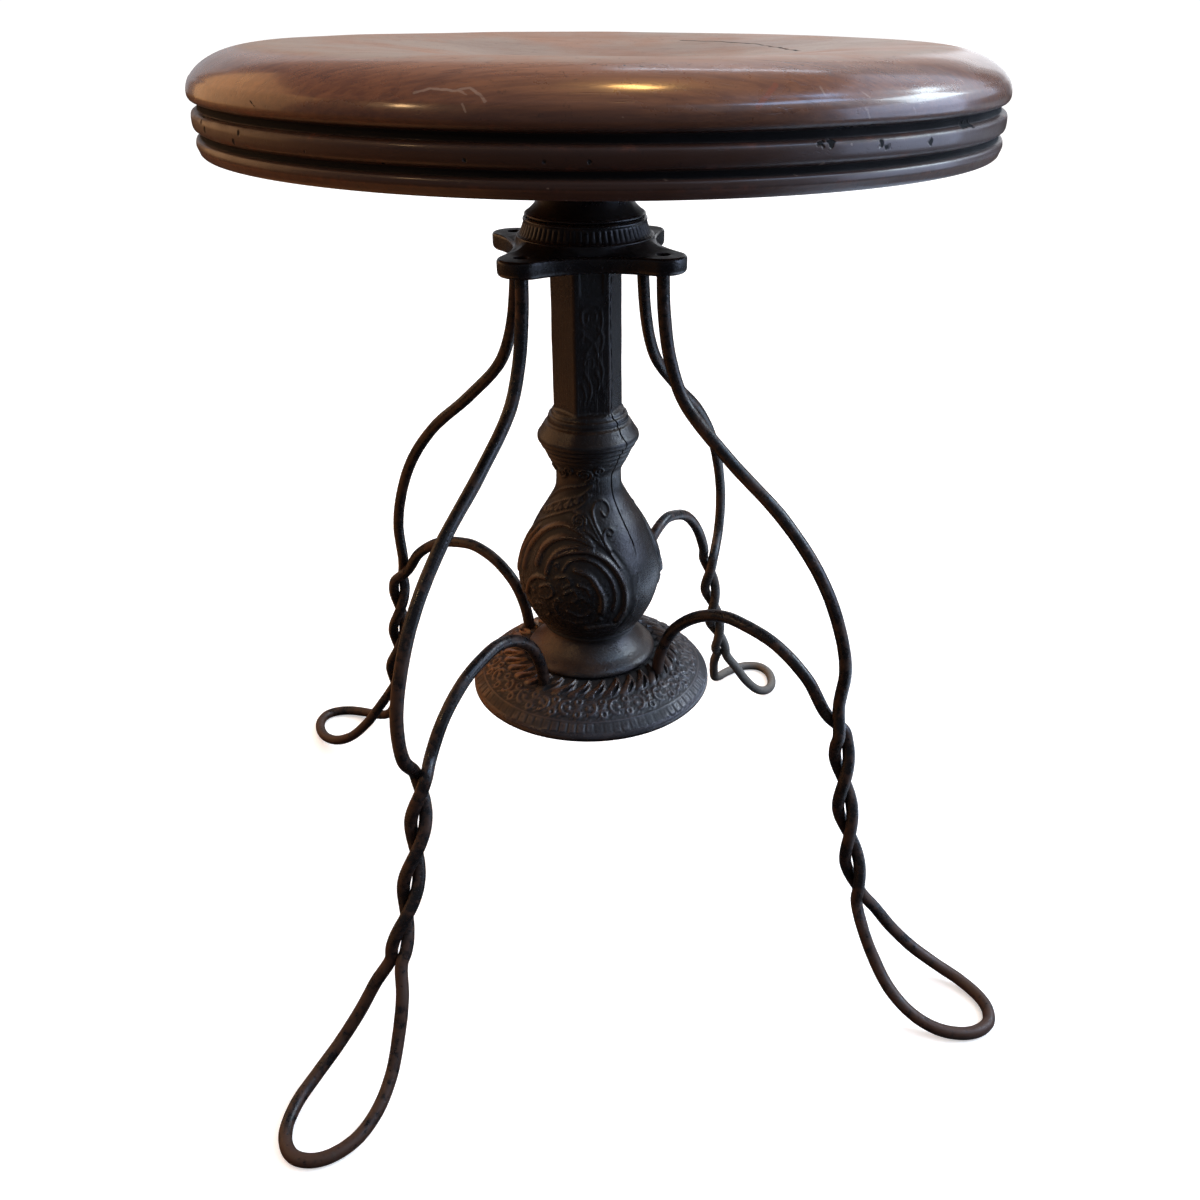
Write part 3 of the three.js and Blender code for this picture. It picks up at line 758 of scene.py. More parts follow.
@dataclass(frozen=True)
class VarnishedWood:
    """Old varnish over a stained seat: reddish on the roll, rubbed to grey brown on top.

    The grain runs from the photograph's left to its right. The shell marks the rim, which
    hands have darkened on the band; on the roll's lower turn and on the underside, which face
    down, the dark rim colour is painted shade. It also marks the top, which is rubbed bare.
    Each fault has its own place.
    """

    stain: Colour = (0.212, 0.087, 0.040)
    dark: Colour = (0.090, 0.036, 0.023)
    tan: Colour = (0.340, 0.175, 0.108)
    rubbed: Colour = (0.300, 0.235, 0.195)
    grime_and_shade: Colour = (0.004, 0.0035, 0.0035)
    scuff: Colour = (0.36, 0.26, 0.20)
    rust: Colour = (0.20, 0.055, 0.025)
    rim: Colour = (0.034, 0.015, 0.010)
    grain_turn: float = 34.0
    holes: tuple[Fault, ...] = Fault.dots(
        1.5, (-69.6, -154.2, 436.2), (-65.5, -156.7, 434.0), (-32.7, -167.2, 435.7), (-37.5, -166.1, 432.6)
    ) + Fault.dots(
        0.95,
        (5.8, -171.8, 432.6), (38.5, -168.3, 430.7), (68.0, -161.3, 433.0), (91.7, -150.6, 433.0),
        (104.1, -143.3, 433.2),
    ) + Fault.line(0.35, (-21.0, -170.2, 447.4), (-18.4, -171.2, 445.6)) + Fault.line(
        0.55, (-81.3, -145.7, 439.6), (-68.5, -153.8, 437.9)
    )
    dents: tuple[Fault, ...] = Fault.dots(
        1.9, (157.6, -87.1, 436.6), (159.8, -83.9, 437.6), (169.7, -64.8, 435.9), (171.0, -61.6, 434.6),
        (178.8, -40.5, 434.6),
    ) + Fault.line(2.2, (181.0, -16.0, 438.0), (182.2, -9.0, 438.2)) + Fault.line(
        1.1, (160.8, -80.6, 441.6), (168.4, -66.4, 441.4)
    )
    crack: tuple[Fault, ...] = Fault.line(
        1.1, (-8.2, 98.9, 460.3), (14.3, 99.9, 460.3), (38.0, 92.7, 460.1), (62.0, 72.0, 459.8),
        (85.0, 45.5, 459.6),
    )
    pale: tuple[Fault, ...] = (
        Fault.line(0.5, (155.0, -84.5, 454.6), (157.6, -85.1, 452.0))
        + Fault.line(0.5, (163.7, -71.6, 453.4), (166.7, -69.8, 450.9))
        + Fault.line(0.55, (166.9, -72.9, 447.7), (168.0, -71.3, 444.5))
        + Fault.line(0.45, (175.8, -51.9, 446.7), (176.3, -51.0, 445.0))
        + Fault.line(
            0.75, (50.6, -164.1, 452.9), (54.9, -161.6, 454.2), (63.4, -159.4, 453.8), (67.5, -156.8, 454.7),
            (72.0, -157.4, 452.6), (74.3, -157.9, 450.9),
        )
        + Fault.line(0.5, (67.5, -161.1, 449.9), (69.3, -161.5, 447.7))
        + Fault.dots(1.3, (158.7, -83.1, 440.8), (158.2, -85.7, 430.8))
    )
    sore: tuple[Fault, ...] = Fault.line(34.0, (-62.0, 20.0, 457.0), (40.0, 88.0, 458.0))
    red: tuple[Fault, ...] = Fault.line(
        1.2, (145.3, -97.1, 455.5), (145.3, -102.4, 452.5), (144.3, -107.1, 449.2)
    )

    def dress(self, effects: Effects) -> Material:
        """Builds the material.

        Args:
            effects: The shared effects.

        Returns:
            The material.
        """
        s = Surface("varnished_seat_wood")
        w = s.w
        turned = w.turned(s.place, Rotation=(0, 0, -math.radians(self.grain_turn)))
        grain = effects.grain.place(w, Vector=turned, Rings=310.0, Pores=620.0)
        worn = s.value("rubbed")
        rim = s.value("rim")
        cloud = w.noise(s.place, 26.0, 6.0, 0.62)
        patch = w.ramp(w.noise(s.place, 16.0, 7.0, 0.68), 0.36, 0.62, 0.35, 1.15)
        long = w.turned(turned, Scale=(0.05, 1.0, 1.0))
        streak = w.ramp(w.noise(long, 420.0, 5.0, 0.7), 0.3, 0.72, 0.15, 0.9)
        wood = w.blend(w.plus(w.times(grain["Ring"], 0.1), streak), self.dark, self.stain)
        wood = w.blend(w.ramp(cloud, 0.42, 0.75, 0.0, 0.3), wood, self.dark)
        wood = w.blend(w.times(w.ramp(worn, 0.1, 0.75), w.ramp(streak, 0.0, 0.9, 0.55, 1.0)), wood, self.tan)
        wood = w.blend(w.times(w.ramp(worn, 0.6, 1.0), patch), wood, self.rubbed)
        wood = w.blend(w.times(grain["Pore"], 0.6), wood, self.dark)
        wood = w.blend(rim, wood, self.rim)
        edges = effects.wear.place(w, Vector=s.place, Edge=s.edge)["Mask"]
        lip = w.ramp(w.noise(s.place, 85.0, 5.0, 0.7), 0.5, 0.66)
        wood = w.blend(w.times(w.times(edges, lip), 0.35), wood, self.rust)
        fleck = w.ramp(w.noise(turned, 330.0, 4.0, 0.75), 0.6, 0.7)
        wood = w.blend(w.times(fleck, w.ramp(worn, 0.0, 1.0, 0.35, 0.8)), wood, self.grime_and_shade)
        sore = s.faults(effects, self.sore, s.shaken(22.0, 18.0))
        wood = w.blend(w.times(sore, w.ramp(streak, 0.15, 0.9, 0.08, 0.3)), wood, self.dark)
        slanting = w.turned(s.place, Rotation=(0.3, 0.2, 1.1), Scale=(1.0, 22.0, 22.0))
        scratch = w.ramp(w.noise(slanting, 16.0, 2.0, 0.5), 0.735, 0.77)
        ragged = s.shaken(2.5, 0.5)
        dents = s.faults(effects, self.dents, s.shaken(3.6, 2.2))
        sunk = w.most(s.faults(effects, self.holes, ragged), dents)
        sunk = w.most(sunk, s.faults(effects, self.crack, s.shaken(9.0, 1.6)))
        pale = w.times(s.faults(effects, self.pale, ragged), w.ramp(grain["Fibre"], 0.35, 0.6, 0.1, 0.45))
        wood = w.blend(w.most(pale, w.times(scratch, 0.35)), wood, self.scuff)
        wood = w.blend(w.times(s.faults(effects, self.red, ragged), 0.6), wood, self.rust)
        # Holes, dents, the crack and the grooves are painted near black: painted shade as well as dirt.
        wood = w.blend(sunk, wood, self.grime_and_shade)
        wood = w.blend(s.hollow, wood, self.grime_and_shade)
        matt = w.ramp(worn, 0.62, 1.0)
        rough = w.plus(w.ramp(cloud, 0.3, 0.7, 0.20, 0.36), w.times(matt, 0.22))
        rough = w.plus(rough, w.times(rim, 0.12))
        rough = w.plus(rough, w.times(edges, 0.25))
        dull = w.most(s.hollow, w.times(sunk, 0.9))
        rough = w.plus(rough, w.times(dull, 0.6))
        bare = w.most(w.times(matt, 0.85), w.times(rim, 0.62))
        bare = w.most(bare, w.ramp(rim, 0.93, 1.0))
        coat = w.ramp(w.most(dull, bare), 0.0, 1.0, 0.7, 0.0)
        height = w.less(w.times(grain["Fibre"], 0.3), w.times(grain["Pore"], 0.4))
        height = w.less(height, w.times(sunk, 6.0))
        height = w.plus(height, w.times(cloud, 0.8))
        return s.finish(
            {"Coat Roughness": 0.13, "Coat IOR": 1.5, "IOR": 1.5},
            {
                "Base Color": wood, "Roughness": rough, "Coat Weight": coat, "Normal": s.bump(height, 0.12),
            },
        )


@dataclass(frozen=True)
class EbonisedWood:
    """Black stained wood with pressed relief: rubbed brown on ridges and dusty on faces that look up, both
    heavier on one side, where that ochre and brown is also painted warm light; its hollows and crack are
    painted near black, as painted shade and dirt.
    """

    black: Colour = (0.0085, 0.008, 0.009)
    brown: Colour = (0.032, 0.018, 0.012)
    rubbed: Colour = (0.11, 0.05, 0.022)
    dust: Colour = (0.17, 0.08, 0.028)
    deep: Colour = (0.0025, 0.0022, 0.0022)
    grit: Colour = (0.16, 0.15, 0.15)

    def dress(self, effects: Effects) -> Material:
        """Builds the material.

        Args:
            effects: The shared effects.

        Returns:
            The material.
        """
        s = Surface("ebonised_wood")
        w = s.w
        upright = w.turned(s.place, Rotation=(0, math.radians(90), 0))
        grain = effects.grain.place(w, Vector=upright, Rings=900.0, Pores=700.0)
        edges = effects.wear.place(w, Vector=s.place, Edge=s.edge)["Mask"]
        # Brown mottle, rubbed ridges and ochre dust grow on the side that faces 208 degrees: dust and wear,
        # and painted warm light from that side.
        ochre = s.value("dusty")
        dust = effects.dust.place(w, Vector=s.place, Normal=s.normal, Hollow=ochre, Amount=0.5)
        mottle = w.times(w.ramp(grain["Mottle"], 0.35, 0.7), w.plus(0.08, w.times(ochre, 0.4)))
        colour = w.blend(mottle, self.black, self.brown)
        colour = w.blend(w.times(edges, w.plus(0.12, w.times(ochre, 0.6))), colour, self.rubbed)
        colour = w.blend(w.times(grain["Pore"], 0.5), colour, self.deep)
        colour = w.blend(w.times(dust["Mask"], 0.75), colour, self.dust)
        # Hollows and the crack are painted near black: painted shade as well as dirt.
        colour = w.blend(w.times(s.hollow, 0.9), colour, self.deep)
        crack = s.value("crack")
        colour = w.blend(crack, colour, self.deep)
        speck = w.ramp(w.noise(s.place, 820.0, 3.0, 0.7), 0.3, 0.7)
        grit = w.ramp(w.noise(s.place, 1500.0, 2.0, 0.6), 0.62, 0.7)
        bald = w.less(1.0, w.most(s.hollow, crack))
        colour = w.blend(w.times(w.times(grit, bald), 0.3), colour, self.grit)
        rough = w.plus(w.ramp(grain["Mottle"], 0.3, 0.7, 0.17, 0.36), w.times(dust["Mask"], 0.2))
        rough = w.plus(rough, w.times(w.most(s.hollow, crack), 0.4))
        height = w.plus(w.times(grain["Fibre"], 0.35), w.times(speck, 0.25))
        height = w.less(height, w.times(grain["Pore"], 0.4))
        return s.finish(
            {"IOR": 1.55}, {"Base Color": colour, "Roughness": rough, "Normal": s.bump(height, 0.26)}
        )


@dataclass(frozen=True)
class JapannedIron:
    """Black japan on cast iron: sand-cast grain, ochre dust and rust on what stands proud, both heavier on
    one side, where they also stand for painted warm light, and painted shade as well as dirt in its hollows.
    """

    black: Colour = (0.007, 0.007, 0.0085)
    brown: Colour = (0.020, 0.014, 0.011)
    rust: Colour = (0.17, 0.07, 0.022)
    dust: Colour = (0.25, 0.105, 0.022)
    deep: Colour = (0.0025, 0.0022, 0.002)
    veil: Colour = (0.048, 0.050, 0.060)
    name: str = "japanned_iron"
    dusting: float = 0.75

    def dress(self, effects: Effects) -> Material:
        """Builds the material.

        Args:
            effects: The shared effects.

        Returns:
            The material.
        """
        s = Surface(self.name)
        w = s.w
        sand = w.noise(s.place, 900.0, 4.0, 0.6)
        lumps = w.noise(s.place, 130.0, 4.0, 0.55)
        patches = w.ramp(w.noise(s.place, 38.0, 5.0, 0.65), 0.4, 0.62)
        edges = effects.wear.place(w, Vector=s.place, Edge=s.edge)["Mask"]
        ochre = s.value("dusty")
        dust = effects.dust.place(w, Vector=s.place, Normal=s.normal, Hollow=ochre, Amount=self.dusting)
        colour = w.blend(w.ramp(lumps, 0.4, 0.7, 0.0, 0.3), self.black, self.brown)
        colour = w.blend(w.times(s.value("veil"), w.ramp(patches, 0.0, 1.0, 0.6, 1.0)), colour, self.veil)
        # Dust and rust grow on the side that faces 208 degrees: there they are also painted warm light.
        colour = w.blend(w.times(dust["Mask"], w.plus(0.25, ochre)), colour, self.dust)
        worn = w.times(w.ramp(patches, 0.0, 1.0, 0.4, 1.0), w.plus(0.12, w.times(ochre, 0.7)))
        colour = w.blend(w.times(edges, worn), colour, self.rust)
        # Hollows are painted near black: painted shade as well as dirt.
        colour = w.blend(w.times(s.hollow, 0.9), colour, self.deep)
        rough = w.plus(w.ramp(lumps, 0.3, 0.7, 0.20, 0.34), w.times(dust["Mask"], 0.25))
        rough = w.plus(rough, w.times(s.hollow, 0.4))
        rough = w.less(rough, w.times(s.edge, 0.08))
        height = w.plus(w.times(sand, 0.5), lumps)
        return s.finish(
            {"IOR": 1.55}, {"Base Color": colour, "Roughness": rough, "Normal": s.bump(height, 0.24)}
        )


@dataclass(frozen=True)
class AgedRod:
    """Bent steel bar with old black paint: brown where it has rusted, bright where rubbed."""

    paint: Colour = (0.008, 0.007, 0.0075)
    rust: Colour = (0.058, 0.028, 0.017)
    bare: Colour = (0.11, 0.10, 0.095)
    dust: Colour = (0.125, 0.118, 0.105)

    def dress(self, effects: Effects) -> Material:
        """Builds the material.

        Args:
            effects: The shared effects.

        Returns:
            The material.
        """
        s = Surface("aged_rod")
        w = s.w
        axes = w.axes(s.place)
        low = w.ramp(axes["Z"], 0.075, 0.0)
        mottled = w.times(w.less(w.noise(s.place, 230.0, 5.0, 0.7), 0.5), 0.9)
        patches = w.plus(w.noise(s.place, 55.0, 6.0, 0.68), mottled)
        fine = w.noise(s.place, 620.0, 4.0, 0.6)
        grey = w.times(w.ramp(axes["Y"], 0.09, 0.17), w.ramp(axes["Z"], 0.15, 0.03, 0.2, 0.85))
        pits = effects.pits.place(w, Vector=s.place, Scale=430.0, Share=0.3)["Mask"]
        rusty = w.ramp(w.plus(patches, w.times(low, 0.16)), 0.44, 0.66)
        rubbed = w.ramp(w.less(w.noise(s.place, 95.0, 5.0, 0.7), w.times(fine, 0.12)), 0.52, 0.64)
        colour = w.blend(w.times(rusty, 0.75), self.paint, self.rust)
        colour = w.blend(w.times(rubbed, 0.4), colour, self.bare)
        colour = w.blend(grey, colour, self.dust)
        colour = w.blend(w.times(pits, 0.7), colour, self.paint)
        rough = w.plus(w.ramp(fine, 0.3, 0.7, 0.2, 0.34), w.times(rusty, 0.24))
        metal = w.times(rubbed, 0.5)
        height = w.less(w.plus(w.times(patches, 1.2), w.times(fine, 0.3)), pits)
        return s.finish({"IOR": 1.5}, {
            "Base Color": colour, "Roughness": rough, "Metallic": metal, "Normal": s.bump(height, 0.12),
        })


@dataclass(frozen=True)
class OiledSteel:
    """Machined steel that stays greasy: dark oil in its hollows and in patches, bright steel elsewhere."""

    steel: Colour = (0.30, 0.29, 0.28)
    oil: Colour = (0.035, 0.024, 0.015)

    def dress(self, effects: Effects) -> Material:
        """Builds the material.

        Args:
            effects: The shared effects.

        Returns:
            The material.
        """
        s = Surface("oiled_steel")
        w = s.w
        film = w.noise(s.place, 70.0, 5.0, 0.65)
        turning = w.noise(w.turned(s.place, Scale=(1.0, 1.0, 14.0)), 260.0, 3.0)
        oily = w.most(s.hollow, w.ramp(film, 0.46, 0.66, 0.0, 0.8))
        colour = w.blend(w.least(oily, 0.92), self.steel, self.oil)
        rough = w.ramp(turning, 0.3, 0.7, 0.28, 0.46)
        metal = w.less(1.0, w.times(oily, 0.6))
        return s.finish({}, {
            "Base Color": colour, "Roughness": rough, "Metallic": metal, "Normal": s.bump(turning, 0.03),
        })


@dataclass
class Palette:
    """Every finish of the stool, built once."""

    effects: Effects = field(default_factory=Effects)

    def __post_init__(self) -> None:
        """Builds the material of each slot."""
        finishes = zip(Slot, (VarnishedWood(), EbonisedWood(), JapannedIron(), AgedRod(), OiledSteel()))
        self.materials = {slot: finish.dress(self.effects) for slot, finish in finishes}


@dataclass
class Assembly:
    """What the sub-assemblies share: a palette, and how a shell becomes a piece of the stool."""

    palette: Palette

    def put_in(self, shell: Shell, node: str, body: Body, slot: Slot, creases: float = 40.0) -> Thing:
        """Makes a shell into the piece that stands for a CAD node.

        Args:
            shell: The finished surface.
            node: CAD node that it replaces, which also names it.
            body: Body that it rides on.
            slot: Material slot that it takes its finish from.
            creases: Angle past which an edge shades sharp.

        Returns:
            The piece.
        """
        piece = shell.object(f"{node}_dressed", creases)
        self.adopt(piece, node, body, slot)
        log.info("%s: %d points", piece.name, len(piece.data.vertices))
        return piece

    def adopt(self, piece: Thing, node: str, body: Body, slot: Slot) -> None:
        """Gives a piece its material, its body and the node that it stands for.

        Args:
            piece: The piece.
            node: CAD node that it replaces.
            body: Body that it rides on.
            slot: Material slot that it takes its finish from.
        """
        piece.data.materials.clear()
        piece.data.materials.append(self.palette.materials[slot])
        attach(piece, body.value)
        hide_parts(node)


@dataclass(frozen=True)
class Stroke:
    """One raised or sunk line of ornament on an unrolled surface.

    The line is a smooth curve through its points. Its height falls from the middle line to
    the edge as (1 - (distance / half width)^2) to the power 0.7, and both width and height
    run evenly from the line's first point to its last.
    """

    points: Table
    widths: tuple[float, float] = (0.9, 0.9)
    heights: tuple[float, float] = (0.7, 0.7)

    def height(self, across: Grid, along: Grid) -> Grid:
        """Height of the stroke at places on the unrolled surface.

        Args:
            across: Millimetres round the axis.
            along: Millimetres up the surface.

        Returns:
            Heights, 0 away from the stroke.
        """
        line = evenly(catmull_rom(np.array(self.points, float), 16), 0.45)
        share = np.linspace(0.0, 1.0, len(line))
        half = between(*self.widths, share)
        rise = between(*self.heights, share)
        total = np.zeros(across.shape)
        reach = max(self.widths)
        near = (
            (across > line[:, 0].min() - reach) & (across < line[:, 0].max() + reach)
            & (along > line[:, 1].min() - reach) & (along < line[:, 1].max() + reach)
        )
        if not near.any():
            return total
        a, b = across[near][:, None], along[near][:, None]
        ratio = ((a - line[:, 0]) ** 2 + (b - line[:, 1]) ** 2) / half**2
        raised = rise * np.clip(1.0 - ratio, 0.0, None) ** 0.7
        strongest = np.abs(raised).argmax(axis=1)
        total[near] = raised[np.arange(len(raised)), strongest]
        return total


def spiral(x: float, y: float, radius: float, turns: float, start: float, hand: int = 1) -> Table:
    """Points of a scroll that winds in to its middle, its radius falling evenly.

    Args:
        x: Middle, across.
        y: Middle, along.
        radius: Radius where it starts.
        turns: How often it winds.
        start: Direction of its start in degrees.
        hand: 1 to wind counter-clockwise, -1 clockwise.

    Returns:
        Its points.
    """
    share = np.linspace(0.0, 1.0, max(6, int(turns * 12)))
    angle = math.radians(start) + hand * share * turns * TAU
    reach = radius * (1.0 - 0.86 * share)
    return tuple(zip((x + reach * np.cos(angle)).tolist(), (y + reach * np.sin(angle)).tolist()))


def tallest(fields: list[Grid]) -> Grid:
    """Joins height fields: the tallest ridge or deepest groove wins at each point."""
    stack = np.stack(fields)
    picked = np.abs(stack).argmax(axis=0)
    return np.take_along_axis(stack, picked[None], axis=0)[0]


@dataclass
class Seat(Assembly):
    """Turned wooden seat: dish, roll, groove, band, groove, bead and bevel."""

    radius: float = 178.0
    foot: float = 420.7
    thickness: float = 42.0
    crest_inset: float = 32.0
    roll_height: float = 18.0
    dish: float = 9.0
    offset: float = 8.8
    offset_turn: float = 34.0
    columns: int = 744

    def rows(self) -> Grid:
        """Profile from the middle of the underside, round the edge, to the middle of the dish.

        The roll is a quarter of an ellipse and the dish half a wave of a cosine.

        Returns:
            Rows of radius and height.
        """
        foot, edge, top = self.foot, self.radius, self.foot + self.thickness
        widest, crest = top - self.roll_height, edge - self.crest_inset

        def cut(step: float, *corners: tuple[float, float]) -> tuple[Table, float]:
            """One section, by how far each corner lies in from the edge and up from the foot."""
            return tuple((edge - inward, foot + up) for inward, up in corners), step

        turn = np.linspace(0.0, math.pi / 2, 30)
        out, up = self.crest_inset * np.cos(turn), self.roll_height * np.sin(turn)
        roll = np.column_stack([crest + out, widest + up])
        share = np.linspace(1.0, 0.02, 26)[1:]
        dish = np.column_stack([crest * share, top - self.dish * (1 + np.cos(math.pi * share)) / 2])
        edge_rows = profile(
            (((3.0, foot), (edge - 2.8, foot)), 12.0),
            cut(0.4, (2.8, 0.0), (2.3, 0.5)),
            cut(0.9, (2.3, 0.5), (1.35, 3.2)),
            cut(0.5, (1.35, 3.2), (1.2, 3.6), (1.25, 4.6), (1.6, 5.9), (2.4, 6.5)),
            cut(0.6, (2.4, 6.5), (3.3, 6.9), (3.5, 8.0), (3.1, 9.2), (2.2, 9.6)),
            cut(0.7, (2.2, 9.6), (1.0, 10.6), (0.6, 13.4), (1.0, 16.4), (2.2, 17.3)),
            cut(0.6, (2.2, 17.3), (3.3, 17.7), (3.55, 19.2), (3.2, 20.6), (2.2, 21.0)),
            cut(0.6, (2.2, 21.0), (0.9, 21.6), (0.15, 22.8), (0.0, widest - foot)),
        )
        return np.vstack([edge_rows, roll[1:], dish])

    def build(self) -> None:
        """Makes the seat, with its hollows, edges and rubbed top marked for the finish."""
        rows = self.rows()
        radius, height = rows[:, :1], rows[:, 1:]
        grid = around(radius, circle(self.columns), height)
        outer = radius > self.radius * 0.6
        uneven = ripple(grid, 70.0, 5) * 0.22 + ripple(grid, 24.0, 6) * 0.06
        upper = smooth(self.foot + 22.0, self.foot + 30.0, height)
        grid[..., 2] += uneven * upper * smooth(self.radius, self.radius - 14.0, radius)
        grid[..., 2] -= 0.35 * upper * (radius < self.radius - 2)
        relative = height - self.foot
        lower_groove = window(6.2, 7.0, 8.9, 9.5, relative)
        upper_groove = window(17.2, 18.0, 20.4, 21.2, relative)
        arrises = [peak(relative, at, 0.9) for at in (3.4, 10.2, 16.8, 22.2)]
        # The rim value darkens the band, the roll's lower turn and the underside: hand darkening on the band,
        # painted shade on the parts that face down.
        band = 0.92 * window(3.0, 3.6, 21.8, 23.6, relative)
        roll_foot = 0.45 * window(20.0, 22.0, 23.0, 34.0, relative)
        underside = between(1.25, 0.72, outer) * smooth(3.6, 3.0, relative)
        crest = self.radius - self.crest_inset
        values = {
            "hollow": np.maximum(lower_groove, upper_groove) * outer,
            "edge": np.maximum.reduce(arrises) * outer,
            "rubbed": smooth(crest + 31.5, crest + 2.0, radius) * upper,
            "rim": np.maximum.reduce([band * outer, roll_foot * outer, underside]),
        }
        turn = math.radians(self.offset_turn)
        shell = Shell.woven(grid, values=values)
        shell = shell.moved_by((self.offset * math.cos(turn), self.offset * math.sin(turn), 0.0))
        self.put_in(shell, "seat", Body.SEAT, Slot.SEAT_WOOD)


# Lines of the vase's ornament in degrees and heights, under the widths and heights of their strokes
VASE_LINES = {
    ((1.1, 2.1), (1.2, 1.9)): (
        ((268.9, 218.7), (287.1, 223.3), (304.5, 223.8), (317.3, 220.7), (326.3, 215.2), (331.8, 207.4),
         (333.6, 199.5), (332.8, 190.8), (328.9, 184.4)),
    ),
    ((0.8, 1.1), (0.9, 1.1)): (
        ((281.7, 213.8), (288, 219.1), (300.8, 220.4), (311.5, 218.0), (319.0, 213.4), (323.8, 207.3),
         (325.2, 199.6), (323.2, 192.3)),
    ),
    ((1.2, 2.1), (1.1, 1.7)): (
        ((292.3, 215), (304.3, 212.5), (311.6, 206.1), (315, 199.4), (314.3, 192.0)),
    ),
    ((0.6, 0.7), (-0.5, -0.6)): (
        ((300.3, 230.2), (314.8, 228.2), (326, 223.8), (334.4, 216.3), (338.7, 208.6), (340.3, 198.3),
         (339, 186.7), (332.6, 178.5)),
    ),
    ((1.1, 2.4), (0.9, 1.8)): (
        ((306.6, 228.4), (293.3, 233), (275, 235.2), (256, 232.3), (242, 225.4), (235.5, 216.9), (237, 208)),
        ((308.5, 226.3), (296.1, 229.4), (280.2, 230.0), (264.5, 226.9), (256, 221.6), (254.4, 214.2)),
    ),
    ((1.0, 1.8), (0.8, 1.5)): (
        ((308.3, 224.8), (296.5, 226), (284, 225.2), (273.3, 221.9), (267.6, 216.4), (266.9, 211.3)),
    ),
    ((1.2, 1.9), (1.1, 1.6)): (
        ((266.8, 208.4), (257.3, 207.4), (249.7, 203.2), (244.9, 195.7)),
        ((238, 230), (228, 222), (222.6, 212.5), (225, 203)),
        ((223, 227), (215, 218), (212, 208), (214, 199)),
        ((327, 181.5), (316, 181.6), (303, 180.7)),
    ),
    ((0.7, 0.65), (0.8, 0.6)): (
        ((312.2, 254.5), (291.6, 249.3), (267.5, 246.4), (241.4, 241.8), (218.5, 233.9)),
        ((308.4, 249.3), (289.8, 243.6), (269.2, 240.6), (248, 236.5), (228.9, 230.6), (215, 221.6)),
        ((314.2, 258), (293, 254.6), (268, 252.6), (243, 248.8), (222, 242.0)),
        ((282.7, 241.5), (299.5, 241), (309.3, 235.2), (316.9, 228.1), (322.9, 223)),
        ((300, 233.8), (308.9, 231.1), (316.8, 226.6)),
    ),
    ((0.8, 0.7), (1.0, 0.8)): (
        ((332.7, 214), (324.7, 223), (318.6, 230.3), (312.6, 236.8), (310.5, 242.2), (316, 245.7),
         (327.4, 246.7), (334.6, 244.2), (334, 240.9), (327, 239.3), (322.9, 241.2)),
        ((325.5, 223.4), (320.8, 228.4), (321.3, 232.3), (327, 233.9), (332.7, 232.6), (330.6, 230.6),
         (325.9, 231.1)),
    ),
    ((0.6, 0.5), (0.6, 0.5)): (
        ((309, 262), (312, 259.6), (317, 258.6), (322, 257.4)),
    ),
    ((0.55, 0.5), (0.5, 0.4)): (
        ((344.8, 208.9), (347.1, 210.7), (348.3, 206.7), (346.2, 204.4)),
    ),
    ((0.6, 0.5), (0.5, 0.4)): (
        ((343, 197), (345.4, 193), (343.2, 188.5), (345, 184)),
    ),
    ((0.95, 0.8), (1.1, 0.8)): (
        ((277.1, 209.8), (285.9, 211.3), (289.6, 207.9), (283, 205.2)),
        ((262, 202.9), (270.9, 205.2), (275.3, 201.6), (269.2, 197.5), (261.7, 197)),
        ((291.4, 198.2), (297.9, 201), (303.5, 198.7)),
        ((255.5, 191.8), (265, 192.7), (269.6, 188.2), (264, 184.6)),
        ((284.8, 202.4), (292.4, 204.9), (296.1, 200.7)),
        ((286.9, 192.3), (297.3, 189.5), (307.6, 193)),
        ((275.3, 194.6), (279.3, 187.5), (289.7, 184.3), (301, 185.4)),
        ((250, 188), (244.5, 190.5), (238, 196.6), (235.5, 202)),
        ((232, 190.6), (226, 194), (219.5, 199.5)),
        ((220, 187), (214, 191), (211.5, 196)),
        ((296, 207.6), (302.5, 206.2), (306, 202.2)),
    ),
}


